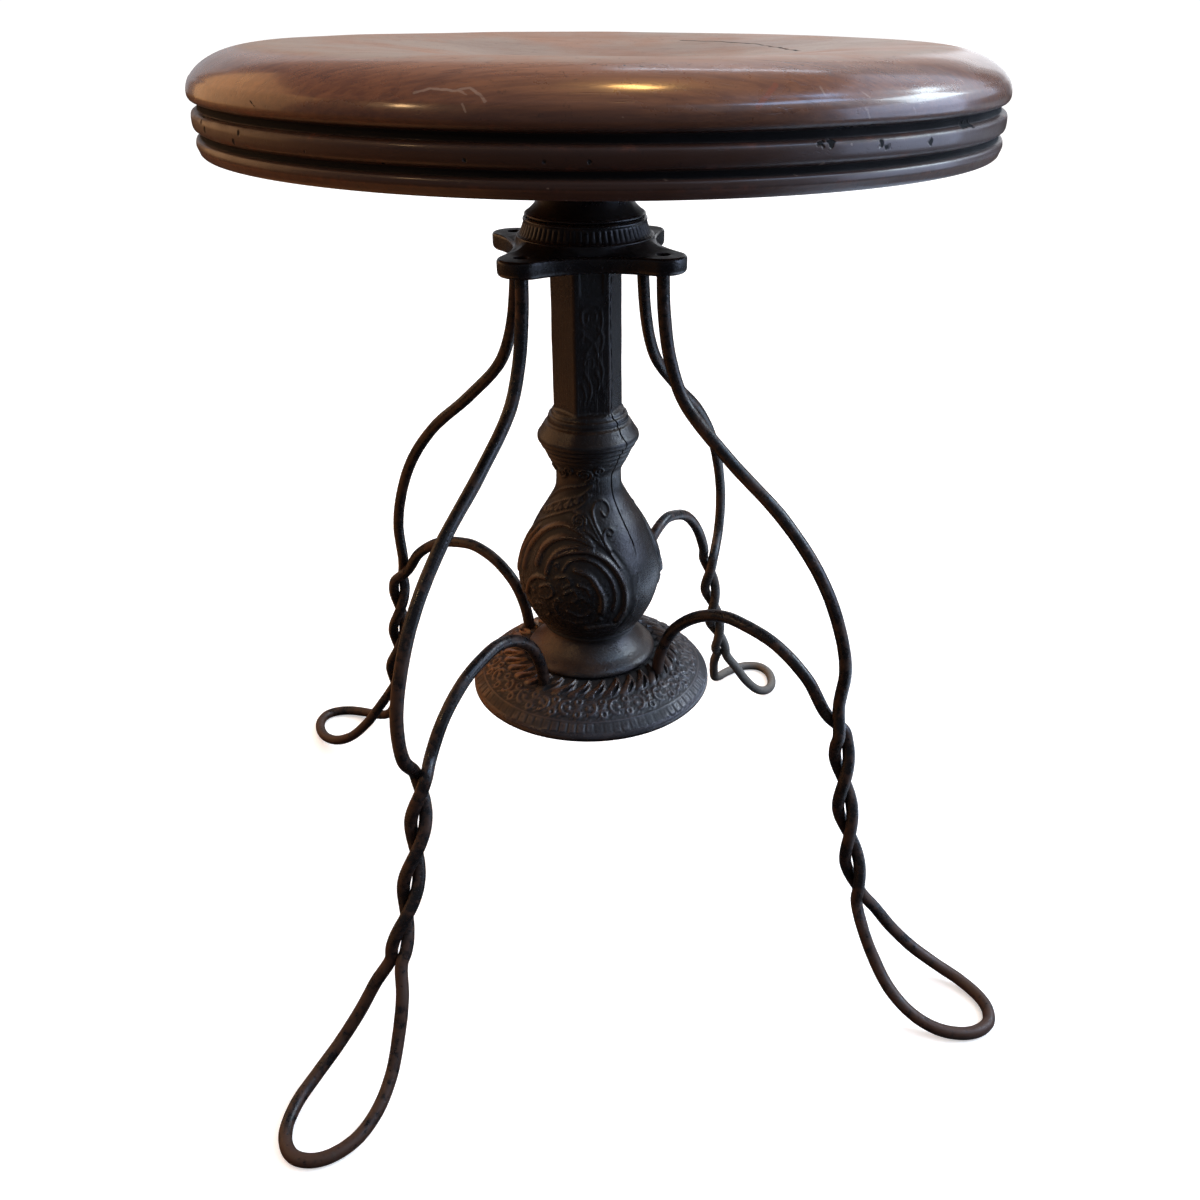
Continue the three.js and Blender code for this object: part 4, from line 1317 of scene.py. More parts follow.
@dataclass
class Column(Assembly):
    """Ebonised column: foot bell, vase with pressed relief, collar, and hexagonal shaft."""

    foot: float = 150.3
    turned: float = 141.7
    length: float = 215.2
    vase: float = 37.9
    hexagon: float = 17.9
    hex_turn: float = 45.0
    corner_ease: float = 0.35
    relief_foot: float = 176.0
    relief_top: float = 268.5
    columns: int = 324
    crack_at: float = 348.0
    motif_at: float = 300.0
    panel_at: float = 315.0

    def turned_rows(self) -> Grid:
        """Profile from the foot's lip to the top of the collar.

        Returns:
            Rows of radius and height.
        """
        f, v, t = self.foot, self.vase, self.turned

        def pick(*rows: tuple[float, float]) -> Table:
            """Radius and height from shares of the length and of the vase's radius."""
            return tuple((v * wide, f + t * up) for up, wide in rows)

        return profile(
            (((12.0, f), (v * 0.93 - 0.6, f)), 6.0),
            (((v * 0.93 - 0.6, f), (v * 0.93, f + 0.6), (v * 0.93, f + 1.4)), 0.5),
            (pick((0.01, 0.93), (0.022, 0.9), (0.05, 0.74), (0.1, 0.602), (0.112, 0.598)), 1.0),
            (pick((0.112, 0.598), (0.118, 0.64), (0.125, 0.672), (0.132, 0.66), (0.138, 0.645)), 0.6),
            (pick(
                (0.138, 0.645), (0.155, 0.74), (0.215, 0.872), (0.285, 0.965), (0.354, 1), (0.425, 0.95),
                (0.495, 0.85), (0.564, 0.728), (0.63, 0.58), (0.686, 0.47), (0.726, 0.449), (0.766, 0.456),
                (0.805, 0.533), (0.85, 0.612),
            ), 0.72),
            (pick((0.85, 0.612), (0.858, 0.632), (0.862, 0.645), (0.868, 0.648), (0.874, 0.645)), 0.5),
            (pick(
                (0.874, 0.645), (0.88, 0.68), (0.888, 0.69), (0.9, 0.686), (0.915, 0.65), (0.944, 0.585),
            ), 0.6),
            (pick((0.944, 0.585), (0.95, 0.553), (0.962, 0.545), (0.975, 0.53)), 0.6),
            (pick((0.975, 0.53), (0.98, 0.5), (1.0, 0.485)), 0.6),
        )

    def crack_line(self, height: Grid) -> Grid:
        """Course of the long drying crack.

        Args:
            height: Height of each point.

        Returns:
            The crack's azimuth there, in degrees.
        """
        table = np.array([
            (212, 352.2), (217, 351.9), (225, 352.0), (233, 350.3), (241, 349.3), (252, 348.7), (262, 348.0),
            (272, 348.7), (277, 353.2), (282, 349.6), (287, 351.4), (290, 346.3), (309, 352.3), (327, 349.0),
            (344, 347.0), (351, 348.6), (366, 352.5),
        ])
        return np.interp(height, table[:, 0], table[:, 1])

    def azimuths(self) -> Grid:
        """Columns of the grid in degrees, drawn together at the crack."""
        even = np.arange(self.columns) * 360.0 / self.columns + self.hex_turn
        gap = astray(even, self.crack_at)
        drawn = gap - np.sign(gap) * np.minimum(np.abs(gap), 9.0) * 0.62 * peak(gap, 0.0, 9.0)
        return self.crack_at + drawn

    def ornament(self) -> list[Stroke]:
        """The strokes of the vase's ornament, in degrees and heights."""
        return [Stroke(line, *style) for style, lines in VASE_LINES.items() for line in lines]

    def scrolls(self) -> list[tuple[float, float, float, float, float, int]]:
        """Small scrolls of the band, the ground and the neck.

        Returns:
            Rows of azimuth, height, radius in millimetres, turns, start in degrees and hand.
        """
        band = [
            (300 - k * 8.0, 248.6 - k * 1.3, 1.5, 1.1, 60.0 + 40 * (k % 2), 1 if k % 2 else -1)
            for k in range(10)
        ]
        ground = [
            (254.0, 199.2, 1.7, 1.3, 140.0, -1), (279.5, 197.6, 1.8, 1.3, 200.0, -1),
            (235.0, 186.0, 1.6, 1.2, 30.0, 1), (246.0, 183.6, 1.6, 1.2, 100.0, 1),
            (312.0, 186.6, 1.6, 1.3, 80.0, -1), (276.0, 215.6, 1.6, 1.2, 80.0, 1),
        ]
        neck = [
            (297.7, 261.2, 4.4, 1.9, -80.0, 1), (322.0, 263.3, 2.9, 1.5, 250.0, -1),
            (273.0, 263.0, 2.6, 1.5, -60.0, 1), (257.1, 260.2, 3.6, 1.7, 120.0, -1),
            (236.0, 261.0, 2.8, 1.5, 60.0, 1),
        ]
        return band + ground + neck + [(291.6, 237.6, 3.9, 2.0, -20.0, 1)]

    def relief(self, azimuth: Grid, height: Grid, along: Grid, radius: Grid) -> Grid:
        """Height of the pressed ornament on the turned stretch.

        The surface is unrolled: millimetres across are the turn from the motif times the
        local radius, and millimetres along are measured up the profile. The motif comes
        twice, on opposite sides.

        Args:
            azimuth: Degrees, one for each point.
            height: Height of each point.
            along: Distance up the profile of each point.
            radius: Radius of each point.

        Returns:
            Heights in millimetres.
        """
        order = np.argsort(height[:, 0])
        levels = height[order, 0]

        def rise(level: Grid) -> Grid:
            """Distance up the profile at a height."""
            return np.interp(level, levels, along[order, 0])

        def local(level: Grid) -> Grid:
            """Radius of the profile at a height."""
            return np.interp(level, levels, radius[order, 0])

        turn = astray(azimuth, self.motif_at, 180.0)
        u, v = np.radians(turn) * radius, along
        fields = []
        for stroke in self.ornament():
            table = np.array(stroke.points)
            wide = (table[:, 0] - self.motif_at) * (math.radians(1.0) * local(table[:, 1]))
            flat = tuple(zip(wide.tolist(), rise(table[:, 1]).tolist()))
            fields.append(replace(stroke, points=flat).height(u, v))
        for at, level, size, turns, start, hand in self.scrolls():
            wide = math.radians(at - self.motif_at) * float(local(level))
            line = spiral(wide, float(rise(level)), size, turns, start, hand)
            fields.append(Stroke(line, (0.72, 0.6), (0.95, 0.7)).height(u, v))
        lines = tallest(fields)
        ground = window(-92.0, -84.0, 16.0, 30.0, turn)
        ground = ground * window(self.relief_foot, self.relief_foot + 6.0, 206.0, 216.0, height)
        curls = np.sin(u * 1.7 + 1.4 * np.sin(v * 0.9)) * np.sin(v * 1.6 + 1.2 * np.sin(u * 0.8))
        grains = np.sin(u * 3.4 + np.sin(v * 2.1) * 1.3) * np.sin(v * 3.1)
        stipple = 0.4 * smooth(0.1, 0.75, curls) + 0.1 * grains
        return lines + stipple * ground * smooth(0.25, 0.05, np.abs(lines))

    def panel(self, across: Grid, height: Grid) -> Grid:
        """Relief on the shaft's front and back flats: a sunk frame, a line, and leafy scrolls.

        Args:
            across: Millimetres from the middle of the flat.
            height: Height of each point.

        Returns:
            Heights in millimetres, negative where sunk.
        """
        sunk = -0.55 * smooth(5.9, 5.3, np.abs(across)) * window(351.5, 352.2, 362.7, 363.4, height)
        strokes = [
            Stroke(((-5.8, 349.6), (-2, 349.6), (2, 349.6), (5.6, 349.6)), (0.5, 0.5), (0.4, 0.4)),
            Stroke(
                ((3.6, 346), (-1, 347.2), (-4.4, 344.4), (-4.8, 339.5), (-2.4, 336.4), (1.2, 337.2)),
                (0.75, 0.55), (0.55, 0.45),
            ),
            Stroke(spiral(0.4, 341.2, 2.6, 1.5, 200.0, -1), (0.6, 0.5), (0.5, 0.4)),
            Stroke(((4.6, 344), (4.9, 338), (3.4, 332), (-0.6, 327), (-3.8, 322)), (0.7, 0.5), (0.5, 0.4)),
            Stroke(((3.0, 336), (5.2, 331), (4.4, 325.5), (1.2, 322.6)), (0.9, 0.5), (0.5, 0.4)),
            Stroke(((-4.4, 333), (-1.4, 330.4), (1.8, 326), (2.4, 321)), (0.8, 0.5), (0.5, 0.4)),
            Stroke(spiral(-1.4, 318.5, 3.2, 1.7, 60.0, 1), (0.65, 0.5), (0.5, 0.4)),
            Stroke(((3.2, 320), (5.0, 314.5), (4.4, 308.5), (5.2, 304)), (1.0, 0.4), (0.55, 0.35)),
            Stroke(((1.6, 314), (3.4, 309.5), (2.6, 304.5)), (0.9, 0.4), (0.5, 0.35)),
            Stroke(((-3.8, 313), (-1.6, 309), (-0.8, 303.5), (-2.4, 299)), (0.9, 0.4), (0.5, 0.35)),
            Stroke(((-4.9, 307), (-3.6, 302), (-4.6, 297.6)), (0.7, 0.4), (0.45, 0.3)),
        ]
        lines = tallest([stroke.height(across, height) for stroke in strokes])
        return sunk + 0.65 * lines

    def build(self) -> None:
        """Makes the column in one surface and marks its hollows, edges and crack."""
        turned = self.turned_rows()
        top = self.foot + self.length
        shaft = np.arange(turned[-1, 1] + 0.8, top - 0.4, 1.1)
        heights = np.concatenate([turned[:, 1], shaft, [top - 0.4, top, top]])
        base = np.concatenate([turned[:, 0], np.full(len(shaft) + 3, self.hexagon)])
        along = np.concatenate([[0.0], np.cumsum(np.hypot(np.diff(base), np.diff(heights)))])
        rows, columns = len(heights), self.columns
        height = wide_grid(heights, columns)
        degrees = np.repeat(self.azimuths()[None, :], rows, axis=0)
        near = peak(astray(degrees, self.crack_at), 0.0, 14.0)
        degrees = degrees + near * (self.crack_line(height) - self.crack_at)
        azimuth = np.radians(degrees)
        radius = wide_grid(base, columns)
        along_grid = wide_grid(along, columns)
        on_shaft = smooth(self.foot + self.turned - 1.6, self.foot + self.turned + 0.6, height)
        corner = self.hexagon - self.corner_ease
        hexagon = np.minimum(hexagonal(azimuth - math.radians(self.hex_turn), self.hexagon), corner)
        plain = between(radius, hexagon, on_shaft)
        rim = np.zeros_like(plain)
        rim[-2], rim[-1] = -0.4, -2.2
        ornament = self.relief(degrees, height, along_grid, radius) * (1.0 - on_shaft)
        relief_foot, relief_top = self.relief_foot, self.relief_top
        ornament *= window(relief_foot, relief_foot + 4.0, relief_top - 2.0, relief_top, height)
        around_panel = astray(degrees, self.panel_at, 180.0)
        across = np.tan(np.radians(np.clip(around_panel, -40, 40))) * self.hexagon * math.cos(math.pi / 6)
        panel = self.panel(across, height) * on_shaft * (np.abs(around_panel) < 29.5)
        incised = np.zeros_like(plain)
        for at, deep in ((271.0, 0.45), (268.2, 0.3), (264.6, 0.35), (285.6, 0.3)):
            incised -= deep * peak(height, at, 0.42)
        points = around(plain, azimuth, height)
        uneven = 0.1 * ripple(points, 16.0, 11) + 0.04 * ripple(points, 5.0, 12)
        gap = astray(degrees, self.crack_line(height)) * math.pi / 180 * plain
        open_at = smooth(214.0, 226.0, height) * (0.75 + 0.25 * np.sin(height * 0.9))
        crack = np.clip(1.0 - np.abs(gap) / (0.42 + 0.3 * on_shaft), 0.0, 1.0) * open_at
        surface = plain + rim + ornament + panel + incised + uneven - crack
        grid = around(surface, azimuth, height)
        drawn = ornament + panel
        sunk = smooth(0.35, 0.0, drawn) * smooth(0.02, 0.2, self.nearness(drawn))
        # A dark line is painted where the vase meets the bead over its foot: painted shadow, through the
        # hollow value.
        bell_gap_shadow = peak(height, self.foot + 0.135 * self.turned, 3.6)
        lines = np.clip(-incised * 2.2, 0.0, 1.0)
        values = {
            "hollow": np.maximum.reduce([sunk * 0.8, bell_gap_shadow, lines]),
            # dust and painted warm light on the side that faces 208 degrees, over raised ornament and the
            # foot
            "dusty": dust_and_warm_light_side(degrees) * between(0.08, 1.0, np.maximum(
                0.8 * smooth(0.4, 1.3, drawn), smooth(170.0, 164.0, height)
            )),
            "edge": np.maximum(smooth(0.5, 1.3, drawn), on_shaft * peak(hexagon, corner, 0.3)),
            "crack": smooth(0.15, 0.7, crack),
        }
        self.put_in(Shell.woven(grid, values=values), "column", Body.FRAME, Slot.COLUMN_WOOD, 55.0)

    def nearness(self, heights: Grid) -> Grid:
        """How much ornament lies near: heights averaged over nine points each way, four to a side."""
        total = np.abs(heights)
        for axis in (0, 1):
            total = sum(np.roll(total, step, axis=axis) for step in range(-4, 5)) / 9.0
        return total


@dataclass
class BaseFlange(Assembly):
    """Domed casting under the column, with leaves, scrolls and dentils in relief."""

    radius: float = 65.8
    lift: float = 131.5
    height: float = 18.5
    rim: float = 4.3
    hollow: float = 10.0
    seat_radius: float = 36.5
    rod_reach: float = 44.0
    nut_radius: float = 6.35
    leaves: int = 32
    scrolls: int = 26
    dentils: int = 84
    leaf_length: float = 12.0
    scroll_reach: float = 53.9
    bold: float = 1.35
    columns: int = 720

    def rows(self) -> tuple[Grid, Grid]:
        """Profile of the underside and of the top.

        Returns:
            The rows, and the share of each that is decorated top.
        """
        lift, crown, ceiling = self.lift, self.lift + self.height, self.lift + self.hollow
        hollow, flat = self.radius - self.rim, self.rod_reach + self.nut_radius
        under = profile(
            (((3.0, ceiling), (flat, ceiling)), 8.0),
            (((flat, ceiling), (hollow - self.rim, lift + 5.0), (hollow, lift)), 1.6),
            (((hollow, lift), (self.radius - 0.8, lift)), 1.2),
            (((self.radius - 0.8, lift), (self.radius - 0.1, lift + 0.4), (self.radius, lift + 1.5)), 0.5),
        )
        shares = (
            (1, 0.1), (0.985, 0.19), (0.91, 0.324), (0.76, 0.514), (0.57, 0.708), (0.31, 0.88), (0.1, 0.97),
            (0, 1),
        )
        inner, outer = self.seat_radius, self.radius
        dome = tuple((between(inner, outer, out), lift + self.height * up) for out, up in shares)
        top = profile((dome, 0.5), (((self.seat_radius, crown), (3.0, crown)), 4.0))
        decorated = np.concatenate([np.zeros(len(under)), np.ones(len(top) - 1)])
        return np.vstack([under, top[1:]]), decorated

    def relief(self, radius: Grid, azimuth: Grid) -> Grid:
        """Height of the cast ornament over the dome.

        Leaves are curled drops: each leans as it goes out, widens to a round bulb and holds
        a drop-shaped pit. The scrolls are rings open to one side, turned about in each
        place. The dentils are a row of rounded blocks inside the rim.

        Args:
            radius: Distance from the axis.
            azimuth: Turn about it, in radians.

        Returns:
            Heights in millimetres.
        """
        out = (radius - self.seat_radius) / self.leaf_length
        lean = azimuth * self.leaves / TAU + 0.95 * np.clip(out, 0, 1.2) ** 1.4
        x = saw(lean)
        spacing = TAU * radius / self.leaves
        half = between(0.16, 0.53, smooth(0.0, 0.75, out))
        end = np.clip((out - 0.72) / 0.3, 0, 1)
        body = np.clip(1 - (x / half) ** 2 - end**2, 0, None) ** 0.5 * smooth(-0.02, 0.08, out)
        rib = 0.3 * np.cos(x / half * TAU) * smooth(0.62, 0.3, out) * body
        pit_x, pit_out = (x - 0.17) * spacing, (out - 0.66) * self.leaf_length
        wide = between(0.35, 1.35, smooth(-3.6, 1.4, pit_out))
        pit = np.clip(1 - (pit_x / wide) ** 2 - (pit_out / 3.7) ** 2, 0, None) ** 0.45
        leaf = (1.25 * body + rib - 1.75 * pit) * (out < 1.05)
        place = azimuth * self.scrolls / TAU
        index = np.round(place)
        u = saw(place) * TAU * radius / self.scrolls
        v = radius - self.scroll_reach
        flip = np.where(index % 2 > 0.5, 1.0, -1.0)
        opening = smooth(-0.8, 0.5, -flip * u + 1.4)
        c_scroll = mound(np.hypot(u - 0.5 * flip, v) - 3.3, 0.95, 0.6) * opening
        dot = mound(np.hypot(u - 1.2 * flip, v), 1.45, 0.55)
        gap = saw(place + 0.5) * TAU * radius / self.scrolls
        small = mound(np.hypot(gap, np.abs(v) - 3.1) - 1.5, 0.75, 0.6)
        stem = mound(v - 1.8 * np.sin(place * TAU), 0.7, 0.6) * 0.7
        curl = np.sin(place * 3.0 * TAU + v * 1.1) * np.sin(v * 2.0 + place * TAU)
        patches = np.sin(azimuth * 5.0 + 1.3) + np.sin(azimuth * 13.0 + v * 0.4)
        worn = between(0.55, 1.0, smooth(-0.6, 0.6, patches))
        band = 0.7 * worn * np.maximum.reduce([c_scroll, dot, small, stem, 0.35 * smooth(0.1, 0.8, curl)])
        band *= window(48.3, 49.2, 59.2, 59.9, radius)
        line = 0.35 * peak(radius, 60.2, 0.4)
        turn = azimuth * self.dentils / TAU
        tooth = smooth(0.44, 0.3, np.abs(saw(turn)))
        tooth = tooth * (1.0 - 0.6 * np.exp(-((saw(turn + 0.06) * 5.0) ** 2) - ((radius - 62.4) / 0.9) ** 2))
        dentil = 0.34 * worn**2 * tooth * window(60.6, 61.2, 64.3, 65.0, radius)
        return self.bold * (leaf + band + line + dentil)

    def build(self) -> None:
        """Makes the flange and marks its hollows and edges."""
        rows, decorated = self.rows()
        azimuth = circle(self.columns)
        radius = wide_grid(rows[:, 0], self.columns)
        height = wide_grid(rows[:, 1], self.columns)
        decorated = decorated[:, None]
        top = decorated * window(36.0, 36.8, 65.0, 66.0, radius)
        raised = self.relief(radius, azimuth) * top
        out, up = np.gradient(rows, axis=0).T
        slope = (up / np.maximum(np.hypot(out, up), 1e-6))[:, None]
        level = np.sqrt(np.clip(1 - slope**2, 0.05, 1))
        grid = around(radius, azimuth, height)
        uneven = 0.12 * ripple(grid, 18.0, 21) + 0.05 * ripple(grid, 4.0, 22)
        grid[..., 2] += (raised + uneven * top) * level
        outward = around(raised * np.abs(slope), azimuth, 0 * height)
        grid += outward * (radius < 65.2)[..., None]
        # Hollows of the relief, a ring round each rod and the line where the bell stands are darkened through
        # the hollow value: painted shade and shadow, with dirt in the relief.
        sunk = smooth(0.42, 0.02, raised) * top * (radius > 37.0) * (radius < 64.6)
        rod_gap_shadow = np.zeros_like(raised)
        for x, y in quarters(self.rod_reach):
            rod_gap_shadow = np.maximum(rod_gap_shadow, smooth(6.0, 3.6, np.hypot(grid[..., 0] - x, grid[..., 1] - y)))
        foot_gap_shadow = smooth(38.2, 36.6, radius)
        # The side that faces 208 degrees gets more ochre dust and rust: dust, and painted warm light from
        # that side.
        ochre = dust_and_warm_light_side(np.degrees(azimuth))
        values = {
            "hollow": np.maximum.reduce([sunk * 0.75, rod_gap_shadow * decorated, foot_gap_shadow * decorated]),
            "dusty": ochre * between(0.55, 1.0, smooth(0.2, 0.9, raised)),
            "edge": smooth(0.5, 1.2, raised) + peak(radius, 65.6, 0.5) * 0.7,
            "veil": decorated * (1.0 - 0.8 * ochre) * smooth(36.0, 60.0, radius),
        }
        self.put_in(Shell.woven(grid, values=values), "base_flange", Body.FRAME, Slot.CASTING, 60.0)


@dataclass
class Cap(Assembly):
    """Casting on the column's head: lobed plate, cove, reeded collar and rim."""

    foot: float = 365.8
    thickness: float = 8.0
    height: float = 21.0
    rod_reach: float = 46.0
    turn: float = -4.0
    lobe: float = 11.0
    waist: float = 35.0
    collar_foot: float = 33.0
    collar_top: float = 29.6
    collar_rise: float = 4.6
    cove: float = 44.0
    rim: float = 27.1
    rim_depth: float = 3.0
    bore: float = 12.3
    nut_recess: float = 16.3
    nut_depth: float = 3.3
    hole: float = 3.475
    reeds: int = 64
    columns: int = 640

    def build(self) -> None:
        """Makes the cap and cuts its four rod holes.

        Each row round it is a radius, a height, and how hollow and how sharp it is there. The hollow
        value darkens the plate's top, the cove, the collar and the inside of the rim: painted shade.
        """
        azimuth = circle(self.columns)
        outline = lobed(azimuth, self.rod_reach, self.lobe, self.waist, self.turn)
        foot, plate_top, top = self.foot, self.foot + self.thickness, self.foot + self.height
        collar_foot = plate_top + self.collar_rise
        bull, brow = 2.4, 1.5
        start = np.minimum(self.cove, outline - brow - 0.25)
        reed = np.abs(np.cos((azimuth - math.radians(self.turn)) * self.reeds / 2)) ** 0.7
        under = [
            (between(self.bore, outline - bull, share), foot, 0, 0) for share in np.linspace(0.0, 1.0, 7)
        ]
        edge = [
            (outline - bull + bull * math.sin(angle), foot + bull - bull * math.cos(angle), 0, 0.3)
            for angle in np.linspace(0.15, 1.0, 6) * (math.pi / 2)
        ] + [(outline, foot + self.thickness * 0.5, 0, 0)] + [
            (outline - brow + brow * math.cos(angle), plate_top - brow + brow * math.sin(angle), 0, shine)
            for angle, shine in zip(np.linspace(0.0, 1.0, 6) * (math.pi / 2), (0.2, 0.2, 0.2, 0.8, 0.8, 0.8))
        ]
        plate = [
            (between(outline - brow, start, share), plate_top, 0.12, 0)
            for share in np.linspace(0.0, 1.0, 14)[1:]
        ]
        wide, rise = self.collar_foot, self.collar_rise - 0.7
        cove = [
            (between(start, wide, share), plate_top + rise * share**2.2, 0.3, 0)
            for share in np.linspace(0.0, 1.0, 10)[1:]
        ] + [
            (wide, collar_foot - 0.45, 0, 0.5), (wide - 0.3, collar_foot - 0.1, 0, 0.7),
            (wide - 1.1, collar_foot, 0.4, 0),
        ]
        collar = [
            (
                between(wide - 1.2, self.collar_top - 0.25, share**0.8)
                + (reed - 1.0) * 0.55 * min(1.0, share * 8.0, (1.0 - share) * 8.0),
                between(collar_foot + 0.1, top - 2.2, share), 0.15, 0,
            )
            for share in np.linspace(0.0, 1.0, 12)
        ]
        crown, seating, nut = self.collar_top, top - self.rim_depth, self.nut_recess
        rim = [
            (crown - 0.2, top - 2.0, 0.3, 0), (crown + 0.05, top - 1.6, 0, 0), (crown, top - 0.9, 0, 0.6),
            (crown - 0.4, top - 0.3, 0, 1), (crown - 1.0, top, 0, 0.8), (self.rim + 0.6, top, 0, 0.5),
            (self.rim, top - 0.5, 0.3, 0), (self.rim, seating, 0.9, 0), (nut, seating, 0.6, 0),
            (nut, seating - self.nut_depth, 0.9, 0), (self.bore, seating - self.nut_depth, 0.9, 0),
        ]
        rows = under + edge + plate + cove + collar + rim
        radius, height, hollow, edge = (
            np.vstack([np.broadcast_to(np.asarray(row[kind], float), outline.shape) for row in rows])
            for kind in range(4)
        )
        grid = around(radius, azimuth, height)
        outer = smooth(self.rim + 0.5, self.rim + 2.0, radius)
        grid[..., 2] += 0.1 * ripple(grid, 14.0, 31) * outer * smooth(foot + 1, foot + 5, height)
        groove = (1.0 - reed) * window(collar_foot, collar_foot + 0.8, top - 2.8, top - 2.0, height)
        values = {"hollow": np.maximum(hollow, groove), "edge": edge}
        piece = Shell.woven(grid, ring=True, values=values).object("cap_dressed", 50.0)
        self.drill(piece)
        self.adopt(piece, "cap", Body.FRAME, Slot.CASTING)

    def drill(self, piece: Thing) -> None:
        """Cuts a through hole for each rod.

        Args:
            piece: The cap.
        """
        angle = circle(28)
        levels = np.array([[self.foot - 3.0], [self.foot + self.thickness + 6.0]])
        wall = around(self.hole, angle, levels)
        for k, place in enumerate(quarters(self.rod_reach, self.turn)):
            cutter = Shell.woven(wall + np.array([*place, 0.0])).object(f"cap_drill_{k}")
            cut = piece.modifiers.new(f"hole_{k}", "BOOLEAN")
            cut.operation, cut.solver, cut.object = "DIFFERENCE", "EXACT", cutter
            with bpy.context.temp_override(object=piece, active_object=piece):
                bpy.ops.object.modifier_apply(modifier=cut.name)
            bpy.data.objects.remove(cutter, do_unlink=True)


